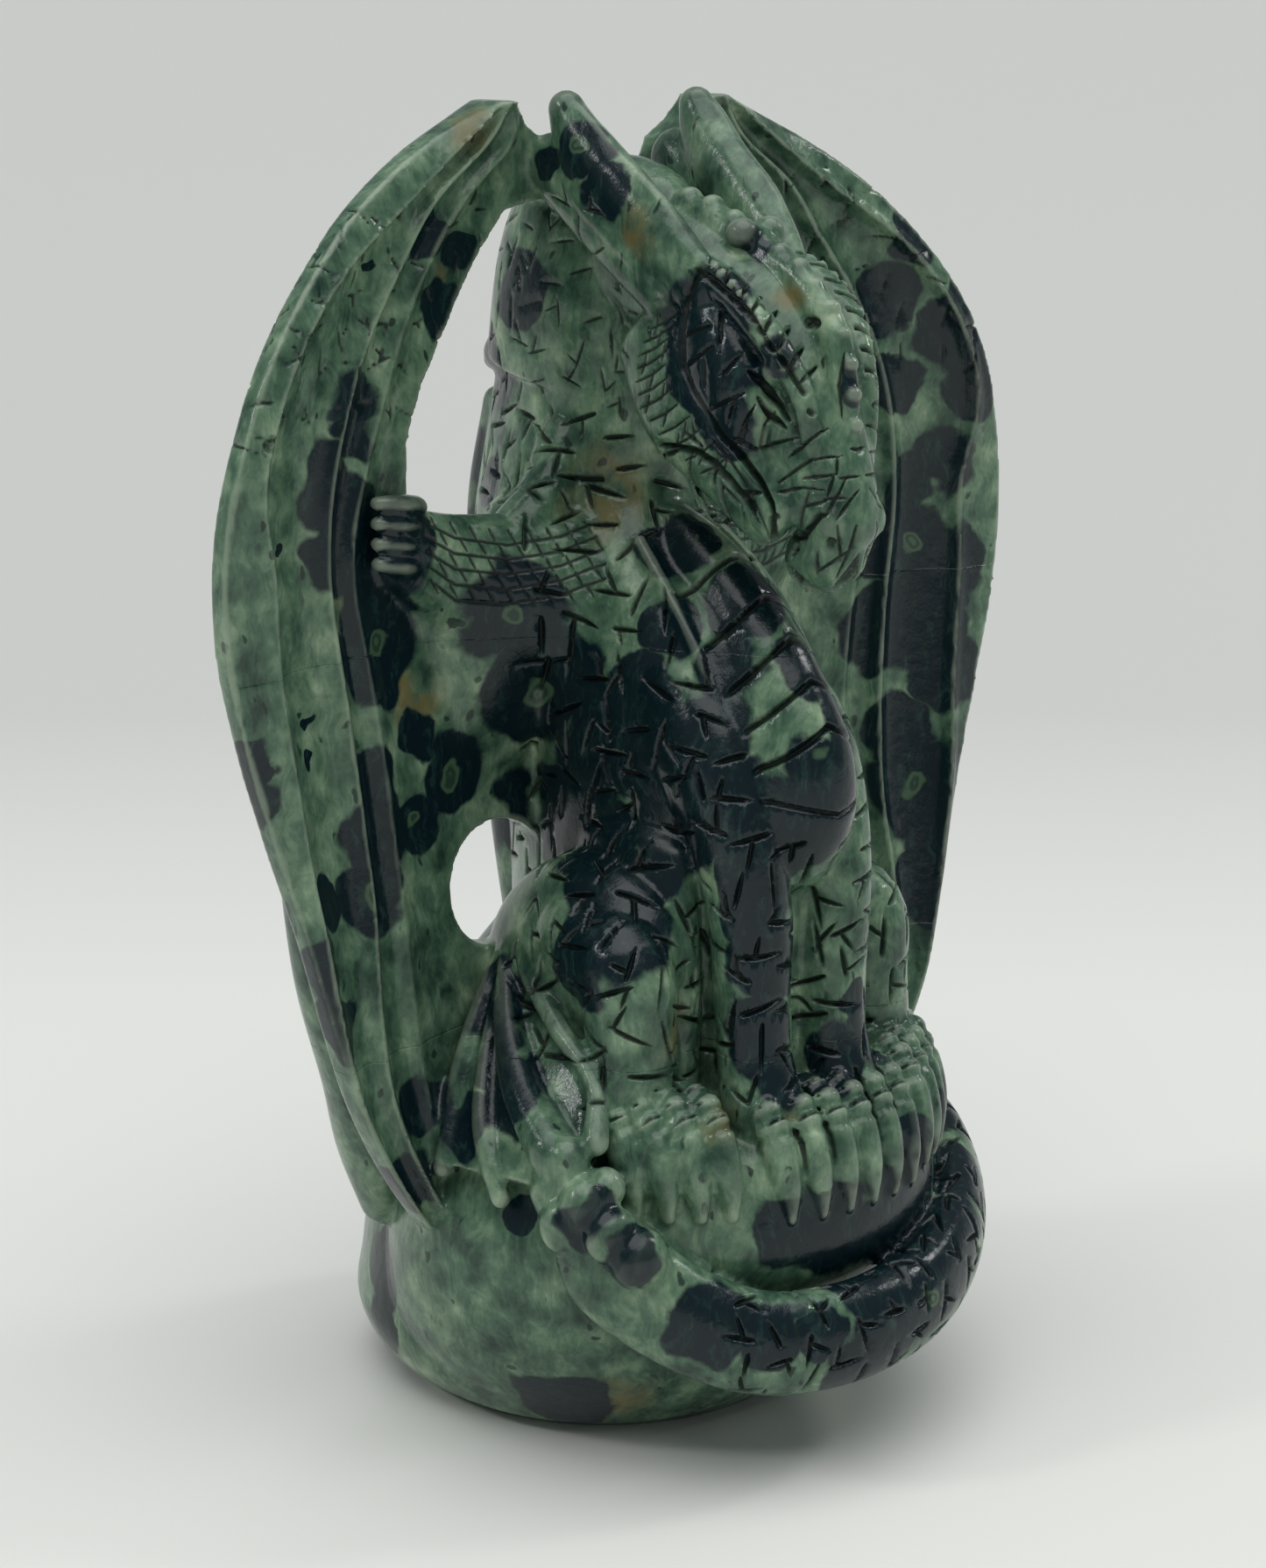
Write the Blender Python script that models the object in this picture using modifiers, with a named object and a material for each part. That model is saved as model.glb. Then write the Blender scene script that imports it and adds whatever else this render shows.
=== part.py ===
"""Jasper winged dragon: one block of green stone, carved as a seated dragon with raised wings.

The dragon faces -Y, its left side is +X and Z is up. The origin is the middle of the flat underside.
Places below are in carver's millimetres: shares of a carving that is 158 of them tall.
Each form is first laid up as a closed solid, as a carver roughs out masses. The masses are then fused,
eased, and cut flat below.
"""

import math

import bmesh
import bpy
import numpy as np
from mathutils import Matrix, Vector

HEIGHT = 0.158
CARVER_HEIGHT = 158.0
MM = HEIGHT / CARVER_HEIGHT

NAME = "dragon_carving"

# Resolution of the fused stone
GRAIN = 0.7 * MM
EASE_STEPS = 4
KEPT_SHARE = 0.030

# Base lump and the round ledge that the feet stand on
FOOT_RADIUS = 24.5
LUMP_RADIUS = 31.5
LEDGE_CENTRE = (1.0, -14.0)
LEDGE_RADIUS = 31.0
LEDGE_TOP = 34.0

# Tail, wound round the ledge
TAIL_RING = 33.0
TAIL_WIDE = 4.2
TAIL_DEEP = 6.2

# Chest plates, from the throat down
PLATE_TOP_HALF = 4.8
PLATE_LOW_HALF = 7.4

# Feet: how far out each toe stands, how long the claws are and how high the knuckles
HIND_TOES = (14.8, 17.8, 20.6, 23.2)
RIGHT_TOES = (-8.4, -4.4, -0.6)
LEFT_TOES = (3.2, 7.2, 11.0)
HIND_CLAWS = 9.0
FRONT_CLAWS = 8.4
HIND_TOP = 45.8
FRONT_TOP = 44.8

# Wings
WING_THICK = 4.6
RIM_THICK = 6.0
RIB_RISE = 1.1
PANEL_SCOOP = 0.7
BODY_EDGE = 12.0
LOW_HOLE_CENTRE = (18.2, 0.0, 65.4)
LOW_HOLE_RADII = (8.0, 7.6)

STONE_COLOUR = (0.075, 0.150, 0.095, 1.0)
STONE_ROUGHNESS = 0.18

scene = bpy.context.scene
for old in list(bpy.data.objects):
    bpy.data.objects.remove(old, do_unlink=True)

carving = bpy.data.collections.new("jasper_winged_dragon")
cutters = bpy.data.collections.new("cutters")
scene.collection.children.link(carving)
scene.collection.children.link(cutters)

one_side = bmesh.new()
middle = bmesh.new()


def eased(table, at):
    """Read a table of (place, value, ...) rows with a smooth cubic through its rows."""
    rows = np.array(table, dtype=float)
    at = np.atleast_1d(np.asarray(at, dtype=float))
    places, values = rows[:, 0], rows[:, 1:]
    slopes = np.gradient(values, places, axis=0)
    cell = np.clip(np.searchsorted(places, at) - 1, 0, len(places) - 2)
    width = places[cell + 1] - places[cell]
    t = np.clip((at - places[cell]) / width, 0.0, 1.0)[:, None]
    width = width[:, None]
    start, end = values[cell], values[cell + 1]
    leave, arrive = slopes[cell] * width, slopes[cell + 1] * width
    return ((2 * t**3 - 3 * t**2 + 1) * start + (t**3 - 2 * t**2 + t) * leave
            + (3 * t**2 - 2 * t**3) * end + (t**3 - t**2) * arrive)


def skin_rings(clay, rings):
    """Join rings of points, all of one count, into a closed skin with faces outwards."""
    loops = [[clay.verts.new(Vector(point) * MM) for point in ring] for ring in rings]
    count = len(loops[0])
    faces = []
    for low, high in zip(loops, loops[1:]):
        for i in range(count):
            j = (i + 1) % count
            faces.append(clay.faces.new((low[i], low[j], high[j], high[i])))
    faces.append(clay.faces.new(loops[0][::-1]))
    faces.append(clay.faces.new(loops[-1]))
    bmesh.ops.recalc_face_normals(clay, faces=faces)


def limb(clay, stations, facing, sides=18, steps=4, dome=1.0, level=False, keel=0.0):
    """Sweep an oval along stations (x, y, z, half width, half depth) and dome both ends.

    The depth lies along the facing direction, the width across it. Level sections stay flat
    where the sweep leans, and a keel narrows the side that faces away.
    """
    rows = np.array(stations, dtype=float)
    spans = np.linalg.norm(np.diff(rows[:, :3], axis=0), axis=1)
    along = np.concatenate(([0.0], np.cumsum(spans)))
    at = np.interp(np.linspace(0, len(rows) - 1, (len(rows) - 1) * steps + 1), range(len(rows)), along)
    path = eased(np.column_stack((along, rows)), at)
    centres, wide, deep = path[:, :3], path[:, 3], path[:, 4]
    tangents = np.gradient(centres, axis=0)
    tangents /= np.linalg.norm(tangents, axis=1)[:, None]
    if level:
        tangents = np.tile((0.0, 0.0, 1.0), (len(centres), 1))
    turns = np.linspace(0, 2 * math.pi, sides, endpoint=False)

    def ring(centre, tangent, half_wide, half_deep):
        across = np.cross(tangent, facing)
        across /= np.linalg.norm(across)
        outward = np.cross(across, tangent)
        return [centre + half_deep * math.sin(a) * outward
                + half_wide * math.cos(a) * (1 + keel * min(math.sin(a), 0.0)) * across
                for a in turns]

    rings = []
    bulges = [math.radians(angle) for angle in (80, 55, 28)]
    for angle in bulges:
        push = dome * math.sin(angle) * min(wide[0], deep[0])
        rings.append(ring(centres[0] - tangents[0] * push, tangents[0],
                          wide[0] * math.cos(angle), deep[0] * math.cos(angle)))
    for centre, tangent, half_wide, half_deep in zip(centres, tangents, wide, deep):
        rings.append(ring(centre, tangent, half_wide, half_deep))
    for angle in reversed(bulges):
        push = dome * math.sin(angle) * min(wide[-1], deep[-1])
        rings.append(ring(centres[-1] + tangents[-1] * push, tangents[-1],
                          wide[-1] * math.cos(angle), deep[-1] * math.cos(angle)))
    skin_rings(clay, rings)


def lump(clay, centre, radii, lean=0.0):
    """Add an egg-shaped mass, leaned about X by an angle in degrees."""
    place = Matrix.Translation(Vector(centre) * MM) @ Matrix.Rotation(math.radians(lean), 4, "X")
    place = place @ Matrix.Diagonal((*(radius * MM for radius in radii), 1.0))
    bmesh.ops.create_uvsphere(clay, u_segments=24, v_segments=14, radius=1.0, matrix=place)


def carve_base():
    """The lump that the carving stands on, the round ledge in front and the swell that joins them."""
    limb(middle, [(0, 0, -4, 21, 21), (0, 0, 0, FOOT_RADIUS, FOOT_RADIUS),
                  (0, 0, 3, 28.5, 28.5), (0, 0, 8, LUMP_RADIUS, LUMP_RADIUS),
                  (0, 0, 15, 31, 31), (0, 1, 24, 29.5, 28.5), (0, 2, 34, 28, 24),
                  (0, 2.5, 44, 24, 18.5), (0, 2, 52, 17.5, 14.5), (0, 1.5, 60, 10, 10)],
         (0, -1, 0), sides=32, dome=0.05, level=True)
    x, y = LEDGE_CENTRE
    limb(middle, [(x, y + 9, 8, 22, 18), (x, y + 4, 15, 27, 25.5),
                  (x, y, 24, LEDGE_RADIUS - 1.5, LEDGE_RADIUS - 1.5),
                  (x, y, 29, LEDGE_RADIUS, LEDGE_RADIUS), (x, y, LEDGE_TOP - 1, 30.4, 30.6),
                  (x, y, LEDGE_TOP + 3, 29.2, 29.6), (x, y + 0.5, LEDGE_TOP + 6.5, 26.5, 27),
                  (x, y + 2, LEDGE_TOP + 9, 20, 21)],
         (0, -1, 0), sides=32, dome=0.05, level=True)
    limb(middle, [(-3, -3, 2, 24, 24), (-5, -6, 10, 27, 27), (-7, -9, 18, 27.5, 27.5),
                  (-9, -11, 27, 26, 26), (-9, -11, 35, 23, 23), (-8, -9, 42, 17, 17)],
         (0, -1, 0), sides=32, dome=0.05, level=True)


def carve_tail():
    """The tail: from the back round the right and the front, in knuckles up the left to a barbed leaf."""
    course = [(70, 15.0), (48, 20.0), (26, 25.5), (4, 28.0), (-16, 28.0), (-34, 25.0), (-54, 21.5),
              (-75, 19.0), (-98, 18.0), (-116, 18.8), (-132, 22.6), (-145, 28.0)]
    x, y = LEDGE_CENTRE
    stations = [(x + TAIL_RING * math.cos(math.radians(turn)),
                 y + TAIL_RING * math.sin(math.radians(turn)), z, TAIL_WIDE, TAIL_DEEP)
                for turn, z in course]
    stations += [(-28.5, -31.0, 32.5, 4.0, 4.6), (-30.0, -28.0, 37.0, 3.6, 3.4)]
    limb(middle, stations, (0, 0, 1), sides=16)
    for centre, radii in (((-30.3, -29.8, 40.6), (2.7, 2.6, 3.4)), ((-30.2, -33.0, 36.8), (3.1, 2.8, 3.3)),
                          ((-28.6, -35.6, 33.4), (3.4, 2.6, 3.3)), ((-26.2, -37.6, 30.6), (3.6, 3.0, 3.6))):
        lump(middle, centre, radii)
    carve_leaf()


def carve_leaf():
    """The barbed leaf at the tail's end, flat against the stone, with a raised midrib."""
    neck = Vector((-30.5, -29.5, 37.0))
    peak = Vector((-20.5, -7.0, 59.5))
    barbs = (Vector((-34.5, -11.5, 36.5)), Vector((-23.5, -29.0, 48.5)))
    outward = Vector((-0.80, -0.50, 0.33)).normalized()
    for barb in barbs:
        rim = [neck, barb, barb.lerp(peak, 0.35) + outward * 0.4, peak]
        spine = [neck, neck.lerp(peak, 0.25), neck.lerp(peak, 0.6), peak]
        rise = (2.6, 3.4, 3.0, 1.2)
        front = [point + outward * lift for point, lift in zip(spine, rise)]
        edge = [point + outward * 1.0 for point in rim]
        back = [point - outward * 7.0 for point in spine]
        rear = [point - outward * 7.0 for point in rim]
        rings = [[a, b, c, d] for a, b, c, d in zip(front, edge, rear, back)]
        skin_rings(middle, rings)


def carve_body():
    """Trunk and neck in one sweep, up from the haunches to the nape."""
    trunk = [(0, -3, 38, 19, 19), (0, -4, 50, 15, 18.5), (0, -6.5, 62, 13.5, 22),
             (0, -9, 73, 13.4, 26.2), (0, -10, 84, 14, 28.6), (0, -6, 93, 13.8, 27.2),
             (0, -2.2, 100, 13, 25), (0, 2.6, 106, 11.8, 20.3), (0, 4.6, 112, 10.2, 17.2),
             (0, 3.5, 119, 8.8, 17), (0, 2, 127, 8.2, 16.5), (0, 0, 136, 8.0, 16),
             (0, -3, 144, 6.6, 12)]
    limb(middle, trunk, (0, -1, 0), sides=28, level=True, keel=0.3)
    lump(middle, (0, -31.4, 83.0), (7.2, 9.4, 11.0), lean=-8)
    limb(middle, [(0, 15.5, 52, 2.2, 4), (0, 18.5, 66, 2.2, 4), (0, 20.5, 80, 2.2, 4),
                  (0, 22.5, 94, 2.2, 4), (0, 22.5, 106, 2.2, 4), (0, 19.0, 119, 2.2, 4)], (0, 1, 0))


def carve_chest_plates():
    """Broad plates down the throat and chest, each a roll across the front."""
    front = np.array([(-11.0, 109.6), (-16.6, 107.8), (-22.4, 104.8), (-28.0, 100.6), (-32.8, 95.6),
                      (-36.8, 90.0), (-39.6, 84.0), (-39.8, 78.4), (-37.2, 72.4)])
    climbs = -np.gradient(front, axis=0)
    for number, ((y, z), (dy, dz)) in enumerate(zip(front, climbs)):
        half = PLATE_TOP_HALF + (PLATE_LOW_HALF - PLATE_TOP_HALF) * number / (len(front) - 1)
        run = math.hypot(dy, dz)
        inward = (0, y + 3.6 * dz / run, z - 3.6 * dy / run)
        lump(middle, inward, (half, 5.6, 4.4), lean=math.degrees(math.atan2(-dy, dz)))


def carve_neck_frill():
    """The ragged frill round the nape, ending in a step above the bare neck."""
    limb(middle, [(0, 3.6, 124.5, 9.4, 15.0), (0, 3, 129, 9.8, 14.6), (0, 1.5, 136, 9.6, 14.6),
                  (0, -1, 143, 8.2, 14)], (0, -1, 0), sides=24, dome=0.12)
    for y, z, half_tall in ((9.5, 140.6, 3.6), (13.4, 133.2, 3.3), (16.6, 125.8, 3.2)):
        limb(middle, [(0, y - 9, z + 3.4, 7.6, half_tall + 1.0), (0, y, z, 5.4, half_tall),
                      (0, y + 3.4, z - 1.0, 2.6, half_tall * 0.55)], (0, 0, 1), sides=14)


def carve_head():
    """The bowed head: skull, brow, snout and chin."""
    skull = [(0, -6, 139.5, 7.5, 7.5), (0, -13, 137.5, 7.8, 8.4), (0, -19, 134.5, 7.8, 9.4),
             (0, -26, 129.8, 7.6, 10.8), (0, -32.4, 124.0, 6.5, 9.4), (0, -37.8, 117.6, 5.0, 6.8),
             (0, -40.4, 112.3, 4.5, 4.8), (0, -40.0, 108.2, 3.9, 3.6)]
    limb(middle, skull, (0, -1, 0), sides=22)
    limb(one_side, [(6.2, -23.4, 139.2, 2.0, 2.6), (6.5, -29.6, 137.0, 2.0, 2.6),
                    (6.3, -35.0, 133.0, 2.0, 2.6), (5.2, -38.8, 127.8, 1.8, 2.2),
                    (3.9, -40.4, 121.6, 1.6, 1.8), (3.0, -41.2, 117.0, 1.3, 1.5)], (0, -0.7, 0.7), sides=12)
    lump(one_side, (6.8, -29.2, 127.6), (2.8, 5.2, 10.2), lean=-34)
    limb(one_side, [(7.0, -17.0, 131.5, 2.2, 6.2), (7.4, -22.0, 125.0, 2.2, 7.2),
                    (6.6, -29.6, 118.2, 2.1, 5.6), (5.0, -35.4, 112.0, 2.0, 4.0)], (0, -0.8, 0.6), sides=14)
    limb(middle, [(0, -12, 145.6, 2.4, 2.6), (0, -19, 144.4, 2.4, 2.6), (0, -27.5, 141.4, 2.2, 2.6),
                  (0, -34.6, 137.8, 2.0, 2.4), (0, -39.6, 132.8, 2.0, 2.4), (0, -41.8, 125, 1.9, 2.0)],
         (0, -0.7, 0.7), sides=12)
    lump(one_side, (5.8, -36.8, 129.0), (1.8, 2.2, 2.0))
    lump(middle, (0, -38.0, 107.8), (3.8, 4.4, 4.2), lean=-20)
    lump(middle, (0, -41.8, 112.0), (3.6, 3.8, 3.4))
    lump(one_side, (2.6, -42.4, 112.4), (2.0, 2.4, 2.6))


def carve_horns():
    """Two plank-like horns that sweep up and back from the skull to the wing tops."""
    limb(one_side, [(6.4, -26, 135.9, 2.2, 3.2), (7.8, -20.5, 140.8, 2.8, 4.2),
                    (8.8, -12.5, 147.2, 2.9, 4.4), (9.5, -7.0, 152.6, 2.6, 3.6),
                    (9.8, -5.2, 156.0, 2.1, 2.2)], (0, -0.6, 0.8), sides=14)
    limb(one_side, [(8.0, -20, 136.0, 2.2, 3.0), (8.8, -10, 143.6, 2.5, 3.6),
                    (9.4, -1.5, 150.2, 2.6, 3.4)], (0, -0.6, 0.8), sides=12)
    lump(one_side, (7.0, -1.4, 146.0), (2.2, 2.6, 2.4))


def wing_edges(z):
    """Where the wing's outer edge, ribs and inner edge lie at a height, and how far back."""
    outer = eased([(24, 32.0), (28, 35.5), (34, 40.0), (44, 45.2), (54, 48.2), (66, 51.2), (78, 54.8),
                   (90, 58.0), (98, 59.5), (107, 59.8), (115, 58.8), (122, 56.8), (130, 53.2),
                   (139, 46.2), (147, 37.0), (152, 28.5), (155, 22.0), (157, 17.5)], z)[:, 0]
    rim_back = eased([(24, -8.0), (34, -10.0), (54, -9.5), (78, -8.0), (107, -7.2), (130, -7.0),
                      (139, -5.3), (147, -2.8), (153, -0.5), (157, 0.5)], z)[:, 0]
    inner_back = eased([(24, -7.0), (34, -6.0), (44, -3.0), (56, -1.0), (70, 0.5), (95, 2.0),
                        (120, 2.6), (140, 2.6), (157, 0.8)], z)[:, 0]
    inner = np.interp(z, [24, 28, 31.5, 34.5, 37, 107.0, 108.4, 109.6, 112, 119, 125, 132, 139, 144.6,
                          146, 152, 154, 157],
                      [30.5, 30, 28.6, 24, 14, 4, 20, 27, 30.2, 30.4, 28, 23.6, 19.2, 14.8,
                       7.5, 9.5, 12.5, 15])
    return outer, inner, rim_back, inner_back


def carve_wing():
    """One wing: a thin curved sheet with a thick rim, three ribs and scooped panels between."""
    levels = np.concatenate((np.arange(24, 107, 2.0), np.arange(107, 157.1, 1.0)))
    outer, inner, rim_back, inner_back = wing_edges(levels)
    rib_reach = eased([(24, 0.4, 1.4, 2.6), (34, 0.8, 3.6, 8.0), (52, 1.2, 6.5, 13.0),
                       (66, 1.8, 9.0, 17.0), (78, 2.6, 12.0, 21.0), (105, 3.2, 15.0, 24.0),
                       (122, 3.2, 16.0, 24.0), (132, 3.2, 14.5, 22.0), (140, 3.4, 12.5, 19.0),
                       (148, 3.6, 10.5, 16.0), (153, 2.6, 6.0, 9.0), (157, 0.6, 1.2, 1.8)], levels)
    rings = []
    for k, z in enumerate(levels):
        width = outer[k] - inner[k]
        ribs = np.minimum(rib_reach[k], width * np.array([0.2, 0.55, 0.85]))
        reach = [0.0, ribs[0], ribs[0:2].mean(), ribs[1], ribs[1:3].mean(), ribs[2],
                 (ribs[2] + width) / 2, width]
        rise = [0.0, 0.9, -PANEL_SCOOP, RIB_RISE, -PANEL_SCOOP, RIB_RISE * 0.7, -0.2, 0.0]
        front, back = [], []
        for away, lift in zip(reach, rise):
            x = outer[k] - away
            share = np.clip(away / max(outer[k] - BODY_EDGE, 1.0), 0.0, 1.0)
            y = rim_back[k] + (inner_back[k] - rim_back[k]) * (1 - (1 - share) ** 1.8)
            half = 0.5 * (RIM_THICK if away <= ribs[0] else WING_THICK)
            if z > 140:
                half += 0.05 * (z - 140)
            half *= 0.45 if away == 0.0 else 1.0
            front.append((x, y - half - lift, z))
            back.append((x, y + half + 0.6 * max(lift, 0.0), z))
        rings.append(front + back[::-1])
    sheet = bmesh.new()
    skin_rings(sheet, rings)
    wing = stone_object("wing_sheet", sheet, cutters)
    hole = low_hole_cutter()
    cut = wing.modifiers.new("low_hole", "BOOLEAN")
    cut.operation = "DIFFERENCE"
    cut.object = hole
    bpy.context.view_layer.update()
    graph = bpy.context.evaluated_depsgraph_get()
    mesh = bpy.data.meshes.new_from_object(wing.evaluated_get(graph))
    one_side.from_mesh(mesh)
    bpy.data.objects.remove(wing, do_unlink=True)


def stone_object(name, clay, collection):
    """Turn laid-up masses into an object of a collection."""
    mesh = bpy.data.meshes.new(name)
    clay.to_mesh(mesh)
    clay.free()
    thing = bpy.data.objects.new(name, mesh)
    collection.objects.link(thing)
    return thing


def hide_cutter(thing):
    """Mark an object as a tool that only cuts."""
    thing.hide_render = True
    thing.display_type = "WIRE"


def low_hole_cutter():
    """The oval hole through the wing beside the flank."""
    clay = bmesh.new()
    x, y, z = LOW_HOLE_CENTRE
    half_wide, half_tall = LOW_HOLE_RADII
    place = (Matrix.Translation(Vector((x, y, z)) * MM) @ Matrix.Rotation(math.pi / 2, 4, "X")
             @ Matrix.Diagonal((half_wide * MM, half_tall * MM, 1.0, 1.0)))
    bmesh.ops.create_cone(clay, cap_ends=True, segments=32, radius1=1.0, radius2=1.0,
                          depth=40 * MM, matrix=place)
    cutter = stone_object("low_hole_cutter", clay, cutters)
    hide_cutter(cutter)
    return cutter


def carve_wing_arm():
    """The wing's arm, from the shoulder to a small clawed hand that grips the sheet."""
    limb(one_side, [(5, -5, 99, 12, 9), (12, -4, 100.5, 10, 6.6), (19, -2.6, 102.3, 8, 4.6),
                    (26, -1.9, 104.6, 6.4, 3.8), (32, -2.6, 107.6, 4.8, 3.2)], (0, -1, 0), sides=16)
    limb(one_side, [(7.5, -1.0, 118, 2.6, 3.0), (10.5, -2.2, 111.5, 3.6, 3.4), (15, -2.6, 106, 5, 4)],
         (0, -1, 0), sides=12)
    for number in range(4):
        z = 113.0 - 2.3 * number
        limb(one_side, [(31.0, -3.8, z - 0.6, 1.3, 1.6), (34.0, -4.6, z, 1.25, 1.7),
                        (37.0, -4.8, z + 0.5, 0.8, 1.0)], (0, -1, 0), sides=10)


def carve_wing_roots():
    """Stone left where the wing meets the flank, and the wing's folded back lobe below."""
    limb(one_side, [(49.5, -5.0, 74, 1.6, 2.4), (45.0, -2.5, 58, 2.2, 3.4), (39.2, 0.0, 44, 2.6, 4.2),
                    (34.8, 3.0, 33, 2.6, 4.5), (32.0, 4.5, 25.5, 2.0, 3.0)], (0, 1, 0), sides=12)
    limb(one_side, [(9, 2, 106, 6, 8), (12, 2, 97, 6.5, 7), (12, 1, 87, 5, 6)], (0, 1, 0), sides=14)
    limb(one_side, [(17, -0.8, 103, 7, 5.4), (18, -0.6, 94, 7.5, 5.0), (17.5, 0.2, 86, 6.6, 4.0),
                    (16, 1.2, 79, 4.8, 2.6), (15, 1.8, 74.5, 3.4, 1.6)], (0, -1, 0), sides=16, level=True)


def carve_hind_leg():
    """Haunch, shank and the hind foot on the ledge."""
    lump(one_side, (14.5, -14.0, 57.5), (8.5, 17.0, 13.0), lean=-30)
    limb(one_side, [(17, -18, 62, 6.5, 6.5), (18.5, -25.5, 60, 5.8, 6.5), (18.5, -27, 53, 5.2, 5.5),
                    (18.5, -27.5, 47.5, 5.6, 5.0)], (0, -1, 0), sides=16)


def carve_front_leg():
    """Shoulder, the straight front leg and the stone left between the legs."""
    limb(one_side, [(7.2, -20.5, 90, 5.0, 7.3), (7.6, -26.6, 84, 5.0, 7.2), (7.0, -31.4, 76, 4.8, 6.0),
                    (6.2, -33.6, 66, 4.6, 5.3), (6.0, -33.8, 57, 4.3, 4.8), (5.9, -34.4, 49, 4.4, 4.6),
                    (6.2, -35.6, 44, 5.0, 4.8)], (0, -1, 0), sides=16)
    limb(middle, [(0, -21, 38, 9, 13), (0, -21, 50, 9, 13), (0, -21, 60, 10, 13.2), (0, -21, 70, 11, 14)],
         (0, -1, 0), sides=20, level=True)
    limb(one_side, [(11.5, -19, 40, 5, 10), (11.8, -19.6, 52, 5, 10.4), (11.6, -19.4, 62, 4.6, 10.4),
                    (10.8, -18.6, 72, 4, 9.4)], (0, -1, 0), sides=16, level=True)


def carve_foot(toes, claws, top):
    """Broad toes side by side on the ledge: a knuckled top, then a long claw down its face."""
    x_ledge, y_ledge = LEDGE_CENTRE
    heels = []
    for x in toes:
        brink = y_ledge - math.sqrt(LEDGE_RADIUS**2 - (x - x_ledge) ** 2)
        heels.append((x, brink + claws - 1.2, top - 3.0, 2.8, 2.0))
        toe = [(x, brink + claws + 0.6, top, 1.8, 2.0), (x, brink + claws - 3.4, top - 0.6, 2.1, 2.4),
               (x, brink + claws * 0.28, top - 4.2, 2.0, 2.3), (x, brink + 0.9, top - 8.6, 1.6, 2.0),
               (x, brink + 0.4, top - 12.4, 0.7, 1.2)]
        limb(middle, toe, (0, -0.6, 0.8), sides=10)
    limb(middle, heels, (0, 0, 1), sides=14)


def fuse():
    """Mirror the paired masses, fuse all into one stone, ease it and cut it flat below."""
    twin = one_side.copy()
    bmesh.ops.scale(twin, vec=(-1, 1, 1), verts=twin.verts)
    bmesh.ops.reverse_faces(twin, faces=twin.faces)
    for side in (one_side, twin):
        shared = bpy.data.meshes.new("side")
        side.to_mesh(shared)
        middle.from_mesh(shared)
        side.free()
    stone = stone_object(NAME, middle, carving)

    fused = stone.modifiers.new("fuse", "REMESH")
    fused.mode = "VOXEL"
    fused.voxel_size = GRAIN
    ease = stone.modifiers.new("ease", "SMOOTH")
    ease.factor = 0.5
    ease.iterations = EASE_STEPS
    facets = stone.modifiers.new("facets", "DECIMATE")
    facets.ratio = KEPT_SHARE

    floor = bmesh.new()
    bmesh.ops.create_cube(floor, size=HEIGHT, matrix=Matrix.Translation((0, 0, -HEIGHT / 2)))
    cutter = stone_object("floor_cutter", floor, cutters)
    hide_cutter(cutter)
    flat = stone.modifiers.new("flat_underside", "BOOLEAN")
    flat.operation = "DIFFERENCE"
    flat.object = cutter
    return stone


def polished_stone():
    """Green orbicular jasper, polished."""
    material = bpy.data.materials.new("polished_jasper")
    material.use_nodes = True
    shader = material.node_tree.nodes["Principled BSDF"]
    shader.inputs["Base Color"].default_value = STONE_COLOUR
    shader.inputs["Roughness"].default_value = STONE_ROUGHNESS
    shader.inputs["Metallic"].default_value = 0.0
    return material


carve_base()
carve_tail()
carve_body()
carve_chest_plates()
carve_neck_frill()
carve_head()
carve_horns()
carve_wing()
carve_wing_arm()
carve_wing_roots()
carve_hind_leg()
carve_front_leg()
carve_foot([-x for x in HIND_TOES], HIND_CLAWS, HIND_TOP)
carve_foot(HIND_TOES, HIND_CLAWS, HIND_TOP)
carve_foot(RIGHT_TOES, FRONT_CLAWS, FRONT_TOP)
carve_foot(LEFT_TOES, FRONT_CLAWS, FRONT_TOP)
dragon = fuse()
dragon.data.materials.append(polished_stone())
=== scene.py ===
"""A seated winged dragon, carved from one block of orbicular green jasper and polished.

Each section lays up one form of the carving as a carver roughs out masses. The masses are fused into one
stone, eased, cut with the scale marks and cut flat below. Lengths in the tables are millimetres.
"""
import math

import bmesh
import bpy
import numpy as np
from mathutils import Matrix, Vector


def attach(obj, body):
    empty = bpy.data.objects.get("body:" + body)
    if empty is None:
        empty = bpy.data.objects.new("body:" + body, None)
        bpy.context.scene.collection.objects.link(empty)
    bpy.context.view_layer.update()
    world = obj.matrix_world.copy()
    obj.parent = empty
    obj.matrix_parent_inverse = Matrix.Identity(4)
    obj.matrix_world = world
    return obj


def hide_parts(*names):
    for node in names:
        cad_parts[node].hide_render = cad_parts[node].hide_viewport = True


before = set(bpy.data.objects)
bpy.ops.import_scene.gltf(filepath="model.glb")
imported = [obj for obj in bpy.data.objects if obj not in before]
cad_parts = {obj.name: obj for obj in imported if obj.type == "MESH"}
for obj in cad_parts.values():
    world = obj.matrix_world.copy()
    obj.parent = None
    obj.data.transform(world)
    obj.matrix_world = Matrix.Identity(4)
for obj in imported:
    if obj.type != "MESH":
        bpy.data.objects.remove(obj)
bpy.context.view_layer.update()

MM = 0.001
scene = bpy.context.scene


# Base and ledge
# The carving stands on a rough lump left at the foot of the block. A round ledge in front carries the
# feet, and a swell of plain stone joins the two. All of it is ground smooth, with no tool marks.
paired = bmesh.new()
middle = bmesh.new()


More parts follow.
